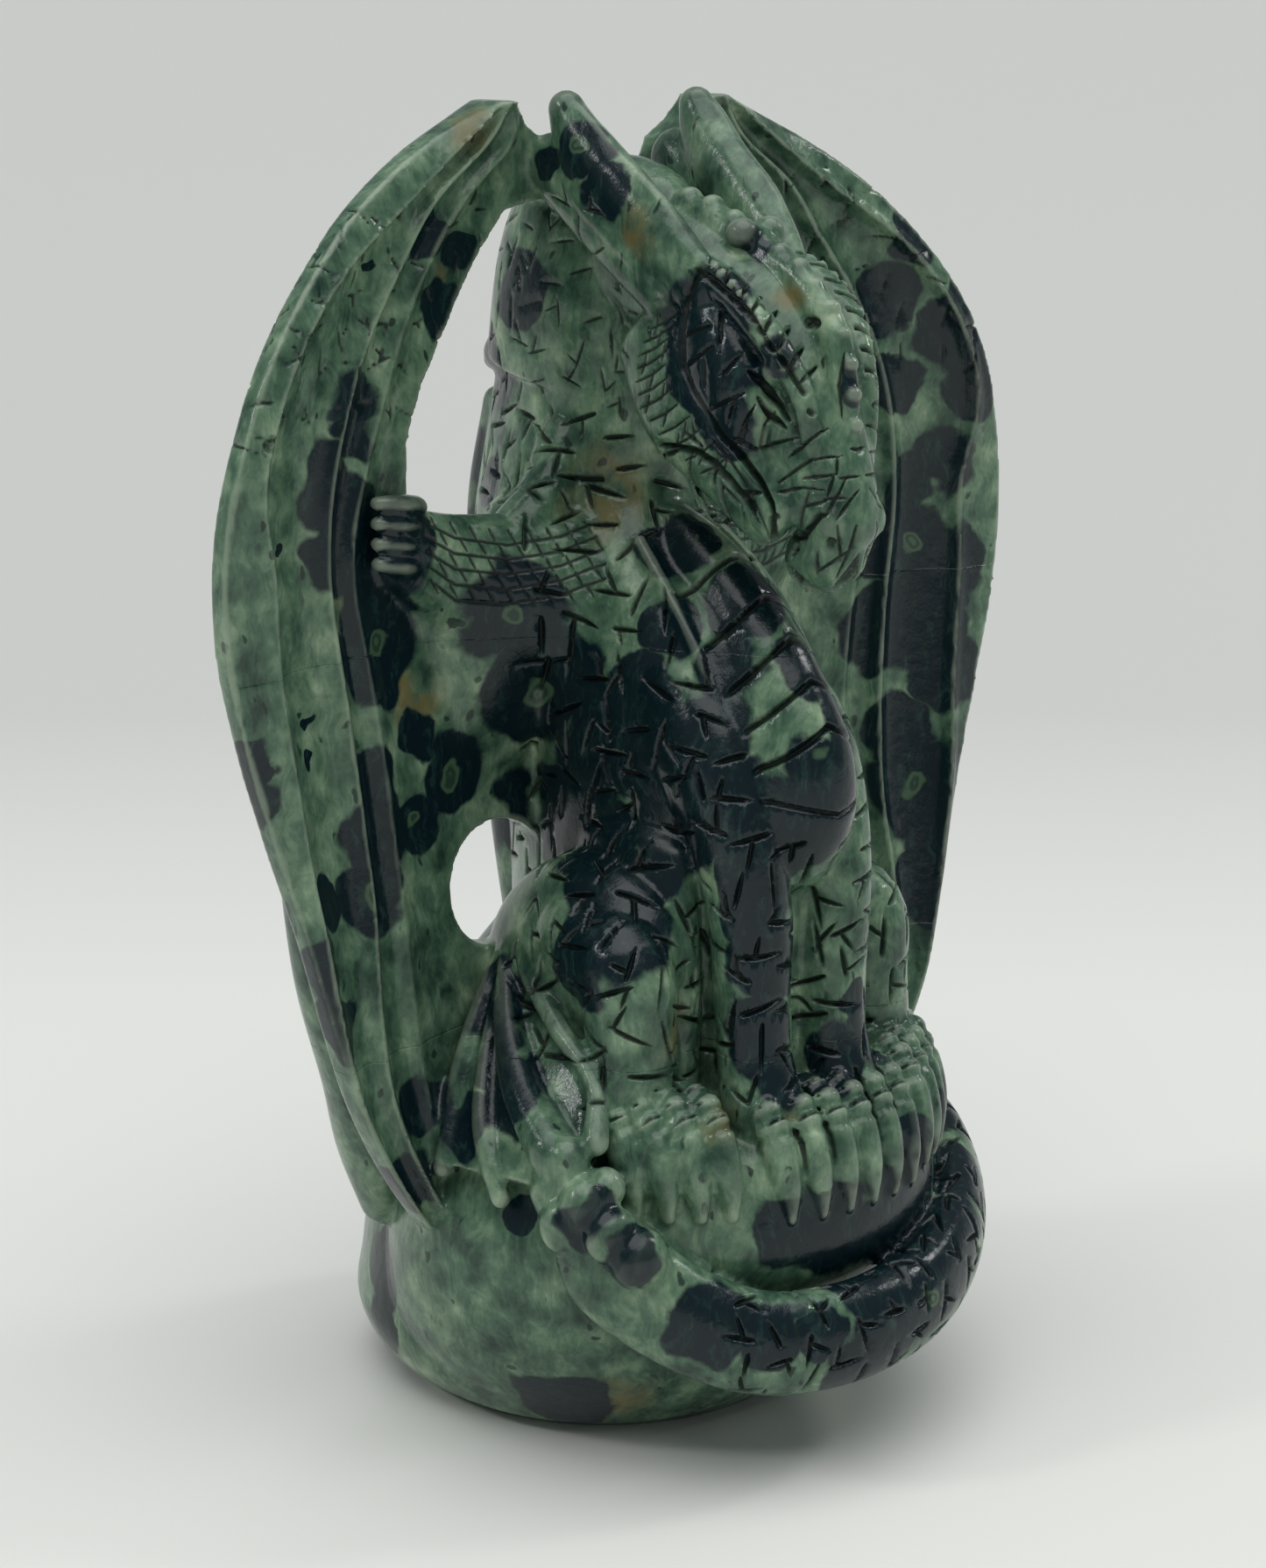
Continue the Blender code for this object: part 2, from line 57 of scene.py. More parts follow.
def eased(table, at):
    """Read a table of (place, value, ...) rows with a smooth cubic through its rows."""
    rows = np.array(table, dtype=float)
    at = np.atleast_1d(np.asarray(at, dtype=float))
    places, values = rows[:, 0], rows[:, 1:]
    slopes = np.gradient(values, places, axis=0)
    cell = np.clip(np.searchsorted(places, at) - 1, 0, len(places) - 2)
    width = places[cell + 1] - places[cell]
    t = np.clip((at - places[cell]) / width, 0.0, 1.0)[:, None]
    width = width[:, None]
    start, end = values[cell], values[cell + 1]
    leave, arrive = slopes[cell] * width, slopes[cell + 1] * width
    return ((2 * t**3 - 3 * t**2 + 1) * start + (t**3 - 2 * t**2 + t) * leave
            + (3 * t**2 - 2 * t**3) * end + (t**3 - t**2) * arrive)


def skin_rings(clay, rings):
    """Join rings of points, all of one count, into a closed skin with faces outwards."""
    loops = [[clay.verts.new(Vector(point) * MM) for point in ring] for ring in rings]
    count = len(loops[0])
    faces = []
    for low, high in zip(loops, loops[1:]):
        for i in range(count):
            j = (i + 1) % count
            faces.append(clay.faces.new((low[i], low[j], high[j], high[i])))
    faces.append(clay.faces.new(loops[0][::-1]))
    faces.append(clay.faces.new(loops[-1]))
    bmesh.ops.recalc_face_normals(clay, faces=faces)


def limb(clay, stations, facing, sides=36, step=1.2, dome=1.0, level=False, keel=0.0, notches=None):
    """Sweep an oval along stations (x, y, z, half width, half depth) and dome both ends.

    The depth lies along the facing direction, the width across it. Level sections stay flat where
    the sweep leans, a keel narrows the side that faces away, and notches (first, last, pitch, depth)
    are cross cuts between two shares of the way along.
    """
    rows = np.array(stations, dtype=float)
    spans = np.linalg.norm(np.diff(rows[:, :3], axis=0), axis=1)
    along = np.concatenate(([0.0], np.cumsum(spans)))
    at = np.concatenate([np.linspace(a, b, max(2, int((b - a) / step) + 1), endpoint=False)
                         for a, b in zip(along, along[1:])] + [along[-1:]])
    path = eased(np.column_stack((along, rows)), at)
    centres, wide, deep = path[:, :3], path[:, 3].copy(), path[:, 4].copy()
    tangents = np.gradient(centres, at, axis=0)
    tangents /= np.linalg.norm(tangents, axis=1)[:, None]
    if level:
        tangents = np.tile((0.0, 0.0, 1.0), (len(centres), 1))
    if notches:
        first, last, pitch, depth = notches
        inside = (at > first * along[-1]) & (at < last * along[-1])
        cut = depth * inside * np.abs(np.cos(math.pi * (at - first * along[-1]) / pitch)) ** 7
        wide, deep = wide - cut, deep - cut
    turns = np.linspace(0, 2 * math.pi, sides, endpoint=False)

    def ring(centre, tangent, half_wide, half_deep):
        across = np.cross(tangent, facing)
        across /= np.linalg.norm(across)
        outward = np.cross(across, tangent)
        narrow = 1 + keel * np.minimum(np.sin(turns), 0.0)
        return (centre + half_deep * np.sin(turns)[:, None] * outward
                + (half_wide * np.cos(turns) * narrow)[:, None] * across)

    rings = []
    bulges = [math.radians(angle) for angle in (86, 72, 56, 38, 20)]
    for angle in bulges:
        push = dome * math.sin(angle) * min(wide[0], deep[0])
        rings.append(ring(centres[0] - tangents[0] * push, tangents[0],
                          wide[0] * math.cos(angle), deep[0] * math.cos(angle)))
    for centre, tangent, half_wide, half_deep in zip(centres, tangents, wide, deep):
        rings.append(ring(centre, tangent, half_wide, half_deep))
    for angle in reversed(bulges):
        push = dome * math.sin(angle) * min(wide[-1], deep[-1])
        rings.append(ring(centres[-1] + tangents[-1] * push, tangents[-1],
                          wide[-1] * math.cos(angle), deep[-1] * math.cos(angle)))
    skin_rings(clay, rings)


def lump(clay, centre, radii, lean=0.0):
    """Add an egg-shaped mass, leaned about X by an angle in degrees."""
    place = Matrix.Translation(Vector(centre) * MM) @ Matrix.Rotation(math.radians(lean), 4, "X")
    place = place @ Matrix.Diagonal((*(radius * MM for radius in radii), 1.0))
    bmesh.ops.create_uvsphere(clay, u_segments=48, v_segments=28, radius=1.0, matrix=place)


LEDGE = (1.0, -14.0)
limb(middle, [(0, 0, -4, 21, 21), (0, 0, 0, 24.5, 24.5), (0, 0, 3, 28.5, 28.5), (0, 0, 8, 31.5, 31.5),
              (0, 0, 15, 31, 31), (0, 1, 24, 29.5, 28.5), (0, 2, 34, 28, 24),
              (0, 2.5, 44, 24, 18.5), (0, 2, 52, 17.5, 14.5), (0, 1.5, 60, 10, 10)],
     (0, -1, 0), sides=96, dome=0.05, level=True)
limb(middle, [(1, -5, 8, 22, 18), (1, -10, 15, 27, 25.5), (1, -14, 24, 29.5, 29.5), (1, -14, 29, 31, 31),
              (1, -14, 33, 30.4, 30.6), (1, -14, 37, 29.2, 29.6), (1, -13.5, 40.5, 26.5, 27),
              (1, -12, 43, 20, 21)],
     (0, -1, 0), sides=96, dome=0.05, level=True)
limb(middle, [(-3, -3, 2, 24, 24), (-5, -6, 10, 27, 27), (-7, -9, 18, 27.5, 27.5),
              (-9, -11, 27, 26, 26), (-9, -11, 35, 23, 23), (-8, -9, 42, 17, 17)],
     (0, -1, 0), sides=96, dome=0.05, level=True)


# Tail
# A thick scaled tail winds from the back round the right and the front of the ledge. It climbs the
# left side in bony knuckles and ends in a barbed leaf, cut in low ridges flat against the stone.
TAIL_RING = 33.0
tail_course = [(70, 15.0), (48, 20.0), (26, 25.5), (4, 28.0), (-16, 28.0), (-34, 25.0), (-54, 21.5),
               (-75, 19.0), (-98, 18.0), (-116, 18.8), (-132, 22.6), (-145, 28.0)]
tail_line = [(LEDGE[0] + TAIL_RING * math.cos(math.radians(turn)),
              LEDGE[1] + TAIL_RING * math.sin(math.radians(turn)), z) for turn, z in tail_course]
limb(middle, [(*point, 4.2, 6.2) for point in tail_line]
     + [(-28.5, -31.0, 32.5, 4.0, 4.6), (-30.0, -28.0, 37.0, 3.6, 3.4)], (0, 0, 1), sides=48)

leaf_neck, leaf_peak = Vector((-30.5, -29.5, 37.0)), Vector((-20.5, -7.0, 59.5))
leaf_out = Vector((-0.80, -0.50, 0.33)).normalized()
for barb in (Vector((-34.5, -11.5, 36.5)), Vector((-23.5, -29.0, 48.5))):
    edge = [leaf_neck, barb, barb.lerp(leaf_peak, 0.35) + leaf_out * 0.4, leaf_peak]
    spine = [leaf_neck, leaf_neck.lerp(leaf_peak, 0.25), leaf_neck.lerp(leaf_peak, 0.6), leaf_peak]
    front = [point + leaf_out * lift for point, lift in zip(spine, (1.4, 1.6, 1.4, 0.6))]
    skin_rings(middle, [[a, b + leaf_out * 0.6, b - leaf_out * 7, c - leaf_out * 7]
                        for a, b, c in zip(front, edge, spine)])
for ridge in ([(-21.0, -7.5, 60.2, 0.8), (-22.8, -14.5, 56.6, 1.2), (-24.0, -20.5, 53.0, 1.3),
               (-25.0, -28.5, 47.8, 1.2), (-27.5, -31.5, 43.0, 1.6)],
              [(-21.5, -7.5, 59.0, 0.9), (-26.0, -13.5, 52.5, 1.7), (-29.0, -20.0, 46.5, 2.4),
               (-30.5, -27.5, 41.5, 3.0)],
              [(-21.5, -6.5, 58.5, 0.8), (-27.0, -8.0, 50.5, 1.1), (-31.5, -9.8, 42.5, 1.2),
               (-34.6, -12.0, 36.0, 1.2)],
              [(-22.5, -8.5, 57.0, 0.6), (-28.0, -12.0, 48.5, 1.0), (-32.0, -16.5, 40.5, 1.3),
               (-33.0, -21.0, 34.5, 1.2)]):
    limb(middle, [(x, y, z, radius, radius) for x, y, z, radius in ridge], (-0.80, -0.50, 0.33),
         sides=20, step=0.8)
for centre, radii in (((-30.3, -29.8, 40.6), (2.7, 2.6, 3.4)), ((-30.2, -33.0, 36.8), (3.1, 2.8, 3.3)),
                      ((-28.6, -35.6, 33.4), (3.4, 2.6, 3.3)), ((-26.2, -37.6, 30.6), (3.6, 3.0, 3.6)),
                      ((-27.6, -33.4, 38.2), (2.2, 2.4, 2.4)), ((-32.2, -30.8, 34.0), (2.2, 2.6, 3.2))):
    lump(middle, centre, radii)


# Trunk and neck
# The trunk rises from the haunches to the nape in one sweep, narrow at the back, with a hump of bare
# ridge down the spine. It is all one stone with the rest.
limb(middle, [(0, -3, 38, 19, 19), (0, -4, 50, 15, 18.5), (0, -6.5, 62, 13.5, 22),
              (0, -9, 73, 13.4, 26.2), (0, -10, 84, 14, 28.6), (0, -6, 93, 13.8, 27.2),
              (0, -2.2, 100, 13, 25), (0, 2.6, 106, 11.8, 20.3), (0, 4.6, 112, 10.2, 17.2),
              (0, 3.5, 119, 8.8, 17), (0, 2, 127, 8.2, 16.5), (0, 0, 136, 8.0, 16),
              (0, -3, 144, 6.6, 12)], (0, -1, 0), sides=96, level=True, keel=0.3)
limb(middle, [(0, 15.5, 52, 2.2, 4), (0, 18.5, 66, 2.2, 4), (0, 20.5, 80, 2.2, 4),
              (0, 22.5, 94, 2.2, 4), (0, 22.5, 106, 2.2, 4), (0, 19.0, 119, 2.2, 4)], (0, 1, 0))


# Chest
# The throat and chest swell forward in a smooth polished belly. Broad plates cross it, parted by
# crisp cuts that droop to the sides, and a raised border runs down either edge.
chest_line = [(-11.0, 109.6), (-16.6, 107.8), (-22.4, 104.8), (-28.0, 100.6), (-32.8, 95.6),
              (-36.8, 90.0), (-39.6, 84.0), (-39.8, 78.4), (-37.2, 72.4)]
lump(middle, (0, -31.4, 83.0), (7.2, 9.4, 11.0), lean=-8)
limb(middle, [(0, y + 6.2 * c, z - 6.2 * s, 4.6 + 0.34 * n, 8.0) for n, ((y, z), (c, s)) in enumerate(
    zip(chest_line, [(0.27, 0.96), (0.35, 0.94), (0.50, 0.87), (0.65, 0.76), (0.78, 0.62),
                     (0.90, 0.44), (0.98, 0.18), (0.99, -0.14), (0.90, -0.43)]))],
     (0, -0.8, 0.6), sides=48)
limb(paired, [(6.4, -14.0, 107.0, 0.8, 0.9), (7.2, -18.5, 103.4, 0.9, 1.0), (7.6, -23.4, 98.6, 1.0, 1.1),
              (7.8, -27.6, 93.2, 1.0, 1.1), (7.9, -31.2, 87.0, 1.0, 1.1), (7.8, -34.6, 80.4, 1.0, 1.1),
              (7.0, -36.8, 74.0, 0.9, 1.0), (5.8, -37.6, 68.0, 0.8, 0.8)], (0, -1, 0), sides=20)


# Frill
# A ragged frill wraps the nape behind the skull. Its back edge is cut in lobes, and its lower edge
# ends in a clean step above the bare neck.
limb(middle, [(0, 3.6, 124.5, 9.4, 15.0), (0, 3, 129, 9.8, 14.6), (0, 1.5, 136, 9.6, 14.6),
              (0, -1, 143, 8.2, 14)], (0, -1, 0), sides=72, dome=0.12)
for y, z, half_tall in ((9.5, 140.6, 3.6), (13.4, 133.2, 3.3), (16.6, 125.8, 3.2)):
    limb(middle, [(0, y - 9, z + 3.4, 7.6, half_tall + 1.0), (0, y, z, 5.4, half_tall),
                  (0, y + 3.4, z - 1.0, 2.6, half_tall * 0.55)], (0, 0, 1))


# Head
# The head is bowed to the chest: a long skull with a heavy brow, sunk cheeks and a blunt snout. It is
# cut from the solid with flat facets, and the jaw carries a scaled frill.
limb(middle, [(0, -6, 139.5, 7.5, 7.5), (0, -13, 137.5, 7.8, 8.4), (0, -19, 134.5, 7.8, 9.4),
              (0, -26, 129.8, 7.6, 10.8), (0, -32.4, 124.0, 6.5, 9.4), (0, -37.8, 117.6, 5.0, 6.8),
              (0, -40.4, 112.3, 4.5, 4.8), (0, -40.0, 108.2, 3.9, 3.6)], (0, -1, 0), sides=64)
lump(middle, (0, -38.0, 107.8), (3.8, 4.4, 4.2), lean=-20)
lump(middle, (0, -41.8, 112.0), (3.6, 3.8, 3.4))
lump(paired, (2.6, -42.4, 112.4), (2.0, 2.4, 2.6))
# Brow, cheek plate, jaw frill and the bridge of the snout
limb(paired, [(6.2, -23.4, 139.2, 1.8, 2.0), (6.5, -29.6, 137.0, 1.8, 2.0), (6.3, -35.0, 133.0, 1.8, 2.0),
              (5.2, -38.8, 127.8, 1.6, 1.8), (3.9, -40.4, 121.6, 1.5, 1.6), (3.0, -41.2, 117.0, 1.2, 1.4)],
     (0, -0.7, 0.7))
lump(paired, (6.8, -29.2, 127.6), (2.8, 5.2, 10.2), lean=-34)
limb(paired, [(7.0, -17.0, 131.5, 2.2, 6.2), (7.4, -22.0, 125.0, 2.2, 7.2), (6.6, -29.6, 118.2, 2.1, 5.6),
              (5.0, -35.4, 112.0, 2.0, 4.0)], (0, -0.8, 0.6))
lump(paired, (5.8, -36.8, 129.0), (1.8, 2.0, 2.0))
lump(paired, (6.6, -33.4, 134.6), (1.6, 1.9, 1.6))
lump(paired, (6.4, -36.0, 132.0), (1.5, 1.7, 1.4))
limb(middle, [(0, -12, 145.0, 2.2, 2.2), (0, -19, 143.8, 2.2, 2.2), (0, -27.5, 140.8, 2.0, 2.2),
              (0, -34.6, 137.4, 1.8, 2.0), (0, -39.4, 132.4, 1.8, 2.0), (0, -41.4, 125, 1.8, 1.8)],
     (0, -0.7, 0.7))

# Beads of the brow and scallops of the crest: one tree sets a row of them along a line
beads = bpy.data.node_groups.new("row_of_beads", "GeometryNodeTree")
beads.interface.new_socket("Geometry", in_out="INPUT", socket_type="NodeSocketGeometry")
inputs = {}
for name, kind, value in (("Bead Count", "NodeSocketInt", 8), ("Bead Radius", "NodeSocketFloat", 0.001),
                          ("Last Radius Share", "NodeSocketFloat", 1.0),
                          ("Length Share", "NodeSocketFloat", 1.0), ("Stone", "NodeSocketMaterial", None)):
    socket = beads.interface.new_socket(name, in_out="INPUT", socket_type=kind)
    if value is not None:
        socket.default_value = value
    inputs[name] = socket.identifier
beads.interface.new_socket("Geometry", in_out="OUTPUT", socket_type="NodeSocketGeometry")
tree = {name: beads.nodes.new(kind) for name, kind in (
    ("in", "NodeGroupInput"), ("line", "GeometryNodeMeshToCurve"),
    ("even", "GeometryNodeResampleCurve"), ("along", "GeometryNodeSplineParameter"),
    ("fade", "ShaderNodeMix"), ("bead", "GeometryNodeMeshUVSphere"),
    ("tangent", "GeometryNodeInputTangent"), ("turn", "FunctionNodeAlignRotationToVector"),
    ("stretch", "ShaderNodeCombineXYZ"), ("size", "ShaderNodeVectorMath"),
    ("set", "GeometryNodeInstanceOnPoints"), ("real", "GeometryNodeRealizeInstances"),
    ("stone", "GeometryNodeSetMaterial"), ("out", "NodeGroupOutput"))}
tree["even"].mode = "COUNT"
tree["turn"].axis = "Z"
tree["size"].operation = "MULTIPLY"
tree["bead"].inputs["Segments"].default_value = 20
tree["bead"].inputs["Rings"].default_value = 12
tree["stretch"].inputs["X"].default_value = 1.0
tree["stretch"].inputs["Y"].default_value = 1.0
tree["fade"].inputs["A"].default_value = 1.0
for start, out, end, into in (
        ("in", "Geometry", "line", "Mesh"), ("line", "Curve", "even", "Curve"),
        ("in", "Bead Count", "even", "Count"), ("even", "Curve", "set", "Points"),
        ("in", "Bead Radius", "bead", "Radius"), ("bead", "Mesh", "set", "Instance"),
        ("tangent", "Tangent", "turn", "Vector"), ("turn", "Rotation", "set", "Rotation"),
        ("in", "Length Share", "stretch", "Z"), ("stretch", "Vector", "size", 0),
        ("along", "Factor", "fade", "Factor"), ("in", "Last Radius Share", "fade", "B"),
        ("fade", "Result", "size", 1), ("size", "Vector", "set", "Scale"),
        ("set", "Instances", "real", "Geometry"), ("real", "Geometry", "stone", "Geometry"),
        ("in", "Stone", "stone", "Material"), ("stone", "Geometry", "out", "Geometry")):
    beads.links.new(tree[start].outputs[out], tree[end].inputs[into])
stone = bpy.data.materials.new("polished_orbicular_jasper")


def settled(thing):
    """Take the finished mesh of an object with live modifiers, and remove the object."""
    bpy.context.view_layer.update()
    done = thing.evaluated_get(bpy.context.evaluated_depsgraph_get())
    mesh = bpy.data.meshes.new_from_object(done)
    bpy.data.objects.remove(thing, do_unlink=True)
    return mesh


def bead_row(clay, line, number, radius, last=1.0, length=1.0):
    """Set a row of round or drawn-out beads along a line of points."""
    path = bpy.data.meshes.new("bead_line")
    path.from_pydata([Vector(point) * MM for point in line], [(i, i + 1) for i in range(len(line) - 1)], [])
    thing = bpy.data.objects.new("bead_row", path)
    scene.collection.objects.link(thing)
    row = thing.modifiers.new("row", "NODES")
    row.node_group = beads
    row[inputs["Bead Count"]] = number
    row[inputs["Bead Radius"]] = radius * MM
    row[inputs["Last Radius Share"]] = last
    row[inputs["Length Share"]] = length
    row[inputs["Stone"]] = stone
    clay.from_mesh(settled(thing))


bead_row(paired, [(7.0, -24.0, 140.8), (7.4, -28.8, 139.2), (7.6, -32.6, 137.0), (7.5, -35.8, 134.0),
                  (6.9, -38.0, 130.8), (6.0, -39.4, 127.6)], 12, 0.85, 0.9)
bead_row(middle, [(0, -11.5, 146.2), (0, -19.0, 145.2), (0, -26.5, 142.4)], 5, 1.9, 0.8, 0.8)
bead_row(middle, [(0, -27.5, 142.0), (0, -34.4, 139.0), (0, -39.8, 134.4), (0, -42.2, 128.6),
                  (0, -42.8, 123.0)], 9, 1.5, 0.8, 0.8)
lump(paired, (2.0, -26.6, 142.8), (1.9, 2.0, 1.9))


# Horns
# Two plank-like horns sweep up and back from the brow to the wing tops, where they join the wings. A
# sharp ridge runs along the top of each and a second one along its lower edge.
limb(paired, [(6.4, -26, 135.9, 2.2, 3.2), (7.8, -20.5, 140.8, 2.8, 4.2), (8.8, -12.5, 147.2, 2.9, 4.4),
              (9.5, -7.0, 152.6, 2.6, 3.6), (9.8, -5.2, 156.0, 2.1, 2.2)], (0, -0.6, 0.8))
limb(paired, [(8.0, -20, 136.0, 2.2, 3.0), (8.8, -10, 143.6, 2.5, 3.6), (9.4, -1.5, 150.2, 2.6, 3.4)],
     (0, -0.6, 0.8))
lump(paired, (7.0, -1.4, 146.0), (2.2, 2.6, 2.4))
limb(paired, [(7.0, -25.5, 139.8, 0.8, 0.8), (8.4, -20.8, 145.6, 0.9, 0.9), (9.4, -13.0, 151.4, 0.9, 0.9),
              (10.0, -7.4, 156.0, 0.9, 0.9), (10.0, -5.2, 157.2, 0.8, 0.8)], (0, -0.6, 0.8), sides=16)
limb(paired, [(9.4, -21.5, 136.2, 0.7, 0.7), (10.2, -16.5, 140.4, 0.8, 0.8), (11.0, -9.5, 145.6, 0.8, 0.8),
              (10.8, -4.5, 149.6, 0.8, 0.8)], (0, -0.6, 0.8), sides=16)


# Wings
# Each wing is a curved sheet with a thick polished rim, standing ribs and shallow panels between them.
# An oval hole is pierced beside the flank, and the top of the wing meets the horn.
WING_LEVELS = np.concatenate((np.arange(24, 107, 1.0), np.arange(107, 157.1, 0.5)))
WING_THICK, RIM_THICK, BODY_EDGE = 4.6, 6.0, 12.0
LOW_HOLE = ((18.2, 0.0, 65.4), (8.0, 7.6))
wing_outer = eased([(24, 32.0), (28, 35.5), (34, 40.0), (44, 45.2), (54, 48.2), (66, 51.2), (78, 54.8),
                    (90, 58.0), (98, 59.5), (107, 59.8), (115, 58.8), (122, 56.8), (130, 53.2),
                    (139, 46.2), (147, 37.0), (152, 28.5), (155, 22.0), (157, 17.5)], WING_LEVELS)[:, 0]
rim_back = eased([(24, -8.0), (34, -10.0), (54, -9.5), (78, -8.0), (107, -7.2), (130, -7.0),
                  (139, -5.3), (147, -2.8), (153, -0.5), (157, 0.5)], WING_LEVELS)[:, 0]
inner_back = eased([(24, -7.0), (34, -6.0), (44, -3.0), (56, -1.0), (70, 0.5), (95, 2.0),
                    (120, 2.6), (140, 2.6), (157, 0.8)], WING_LEVELS)[:, 0]
wing_inner = np.interp(WING_LEVELS,
                       [24, 28, 31.5, 34.5, 37, 107.0, 108.4, 109.6, 112, 119, 125, 132, 139, 144.6,
                        146, 152, 154, 157],
                       [30.5, 30, 28.6, 24, 14, 4, 20, 27, 30.2, 30.4, 28, 23.6, 19.2, 14.8,
                        7.5, 9.5, 12.5, 15])
rib_places = eased([(24, 0.4, 2.4, 5), (34, 0.5, 3.6, 8), (45, 0.6, 5, 11), (57, 1.2, 8, 14),
                    (70, 2.5, 12, 17), (83, 5, 15, 20), (95, 6.5, 16.5, 21), (107, 7, 16, 20),
                    (118, 3.6, 15.5, 21), (130, 3.2, 15, 21), (139, 4, 14, 19), (147, 6.5, 11, 16),
                    (152, 5, 9, 13), (157, 0.8, 1.6, 2.4)], WING_LEVELS)
rings = []
for k, z in enumerate(WING_LEVELS):
    width = wing_outer[k] - wing_inner[k]
    ribs = np.minimum(rib_places[k], width * np.array([0.3, 0.6, 0.85]))
    marks = np.concatenate(([0.0], ribs, [width]))
    away = np.concatenate([np.linspace(a, b, n, endpoint=False)
                           for a, b, n in zip(marks, marks[1:], (8, 10, 10, 12))] + [[width]])
    lift = np.zeros_like(away)
    for a, b, dip in zip(marks[:-1], marks[1:], (0.0, 1.0, 0.8, 0.4)):
        inside = (away >= a) & (away <= b)
        lift[inside] -= dip * np.sin(math.pi * (away[inside] - a) / max(b - a, 0.1))
    for place, rise in zip(ribs, (0.5, 1.0, 0.6)):
        lift += rise * np.exp(-((away - place) / 0.9) ** 2)
    share = np.clip(away / max(wing_outer[k] - BODY_EDGE, 1.0), 0.0, 1.0)
    y = rim_back[k] + (inner_back[k] - rim_back[k]) * (1 - (1 - share) ** 1.8)
    half = 0.5 * np.where(away <= ribs[0], RIM_THICK, WING_THICK) + 0.05 * max(z - 140, 0)
    half *= np.clip(0.45 + 0.55 * away / max(ribs[0], 2.0), 0.45, 1.0)
    x = wing_outer[k] - away
    front = np.column_stack((x, y - half - lift, np.full_like(x, z)))
    back = np.column_stack((x, y + half + 0.4 * np.maximum(lift, 0.0), np.full_like(x, z)))
    rings.append(np.vstack((front, back[::-1])))
wing_clay = bmesh.new()
skin_rings(wing_clay, rings)


def solid(name, clay):
    """Turn laid-up masses into an object of the scene."""
    mesh = bpy.data.meshes.new(name)
    clay.to_mesh(mesh)
    clay.free()
    thing = bpy.data.objects.new(name, mesh)
    scene.collection.objects.link(thing)
    return thing


wing = solid("wing_sheet", wing_clay)
drill = bmesh.new()
centre, (half_wide, half_tall) = LOW_HOLE
bmesh.ops.create_cone(drill, cap_ends=True, segments=64, radius1=1.0, radius2=1.0, depth=40 * MM,
                      matrix=Matrix.Translation(Vector(centre) * MM) @ Matrix.Rotation(math.pi / 2, 4, "X")
                      @ Matrix.Diagonal((half_wide * MM, half_tall * MM, 1.0, 1.0)))
drill = solid("low_hole_drill", drill)
pierce = wing.modifiers.new("pierce", "BOOLEAN")
pierce.operation, pierce.object = "DIFFERENCE", drill
paired.from_mesh(settled(wing))
bpy.data.objects.remove(drill, do_unlink=True)

limb(paired, [(49.5, -5.0, 74, 1.6, 2.4), (45.0, -2.5, 58, 2.2, 3.4), (39.2, 0.0, 44, 2.6, 4.2),
              (34.8, 3.0, 33, 2.6, 4.5), (32.0, 4.5, 25.5, 2.0, 3.0)], (0, 1, 0))
limb(paired, [(9, 2, 106, 6, 8), (12, 2, 97, 6.5, 7), (12, 1, 87, 5, 6)], (0, 1, 0))
# The web between wing and flank, a smooth hollow with no corner in it
limb(paired, [(17, -0.8, 103, 7, 5.4), (18, -0.6, 94, 7.5, 5.0), (17.5, 0.2, 86, 6.6, 4.0),
              (16, 1.2, 79, 4.8, 2.6), (15, 1.8, 74.5, 3.4, 1.6)], (0, -1, 0), level=True)


# Wing arms
# A stout arm reaches from each shoulder across the wing and grips it with a small clawed hand. Arm,
# fingers and wing are one stone, parted only by cuts.
limb(paired, [(5, -5, 99, 12, 9), (12, -4, 100.5, 10, 6.6), (19, -2.6, 102.3, 8, 4.6),
              (26, -1.9, 104.6, 6.4, 3.8), (32, -2.6, 107.6, 4.8, 3.2)], (0, -1, 0), sides=48)
limb(paired, [(7.5, -1.0, 118, 2.6, 3.0), (10.5, -2.2, 111.5, 3.6, 3.4), (15, -2.6, 106, 5, 4)], (0, -1, 0))
for number in range(4):
    z = 113.0 - 2.3 * number
    limb(paired, [(31.0, -3.8, z - 0.6, 1.3, 1.6), (34.0, -4.6, z, 1.25, 1.7),
                  (37.0, -4.8, z + 0.5, 0.8, 1.0)], (0, -1, 0), step=0.4)


# Legs
# The haunches fold on either side of the trunk and the front legs stand straight in front.
lump(paired, (14.5, -14.0, 57.5), (8.5, 17.0, 13.0), lean=-30)
limb(paired, [(17, -18, 62, 6.5, 6.5), (18.5, -25.5, 60, 5.8, 6.5), (18.5, -27, 53, 5.2, 5.5),
              (18.5, -27.5, 47.5, 5.6, 5.0)], (0, -1, 0))
limb(paired, [(7.2, -20.5, 90, 5.0, 7.3), (7.6, -26.6, 84, 5.0, 7.2), (7.0, -31.4, 76, 4.8, 6.0),
              (6.2, -33.6, 66, 4.6, 5.3), (6.0, -33.8, 57, 4.3, 4.8), (5.9, -34.4, 49, 4.4, 4.6),
              (6.2, -35.6, 44, 5.0, 4.8)], (0, -1, 0))
# Stone left between the legs, so that creases and not gaps part them
limb(middle, [(0, -21, 38, 9, 13), (0, -21, 50, 9, 13), (0, -21, 60, 10, 13.2), (0, -21, 70, 11, 14)],
     (0, -1, 0), level=True)
limb(paired, [(11.5, -19, 40, 5, 10), (11.8, -19.6, 52, 5, 10.4), (11.6, -19.4, 62, 4.6, 10.4),
              (10.8, -18.6, 72, 4, 9.4)], (0, -1, 0), level=True)


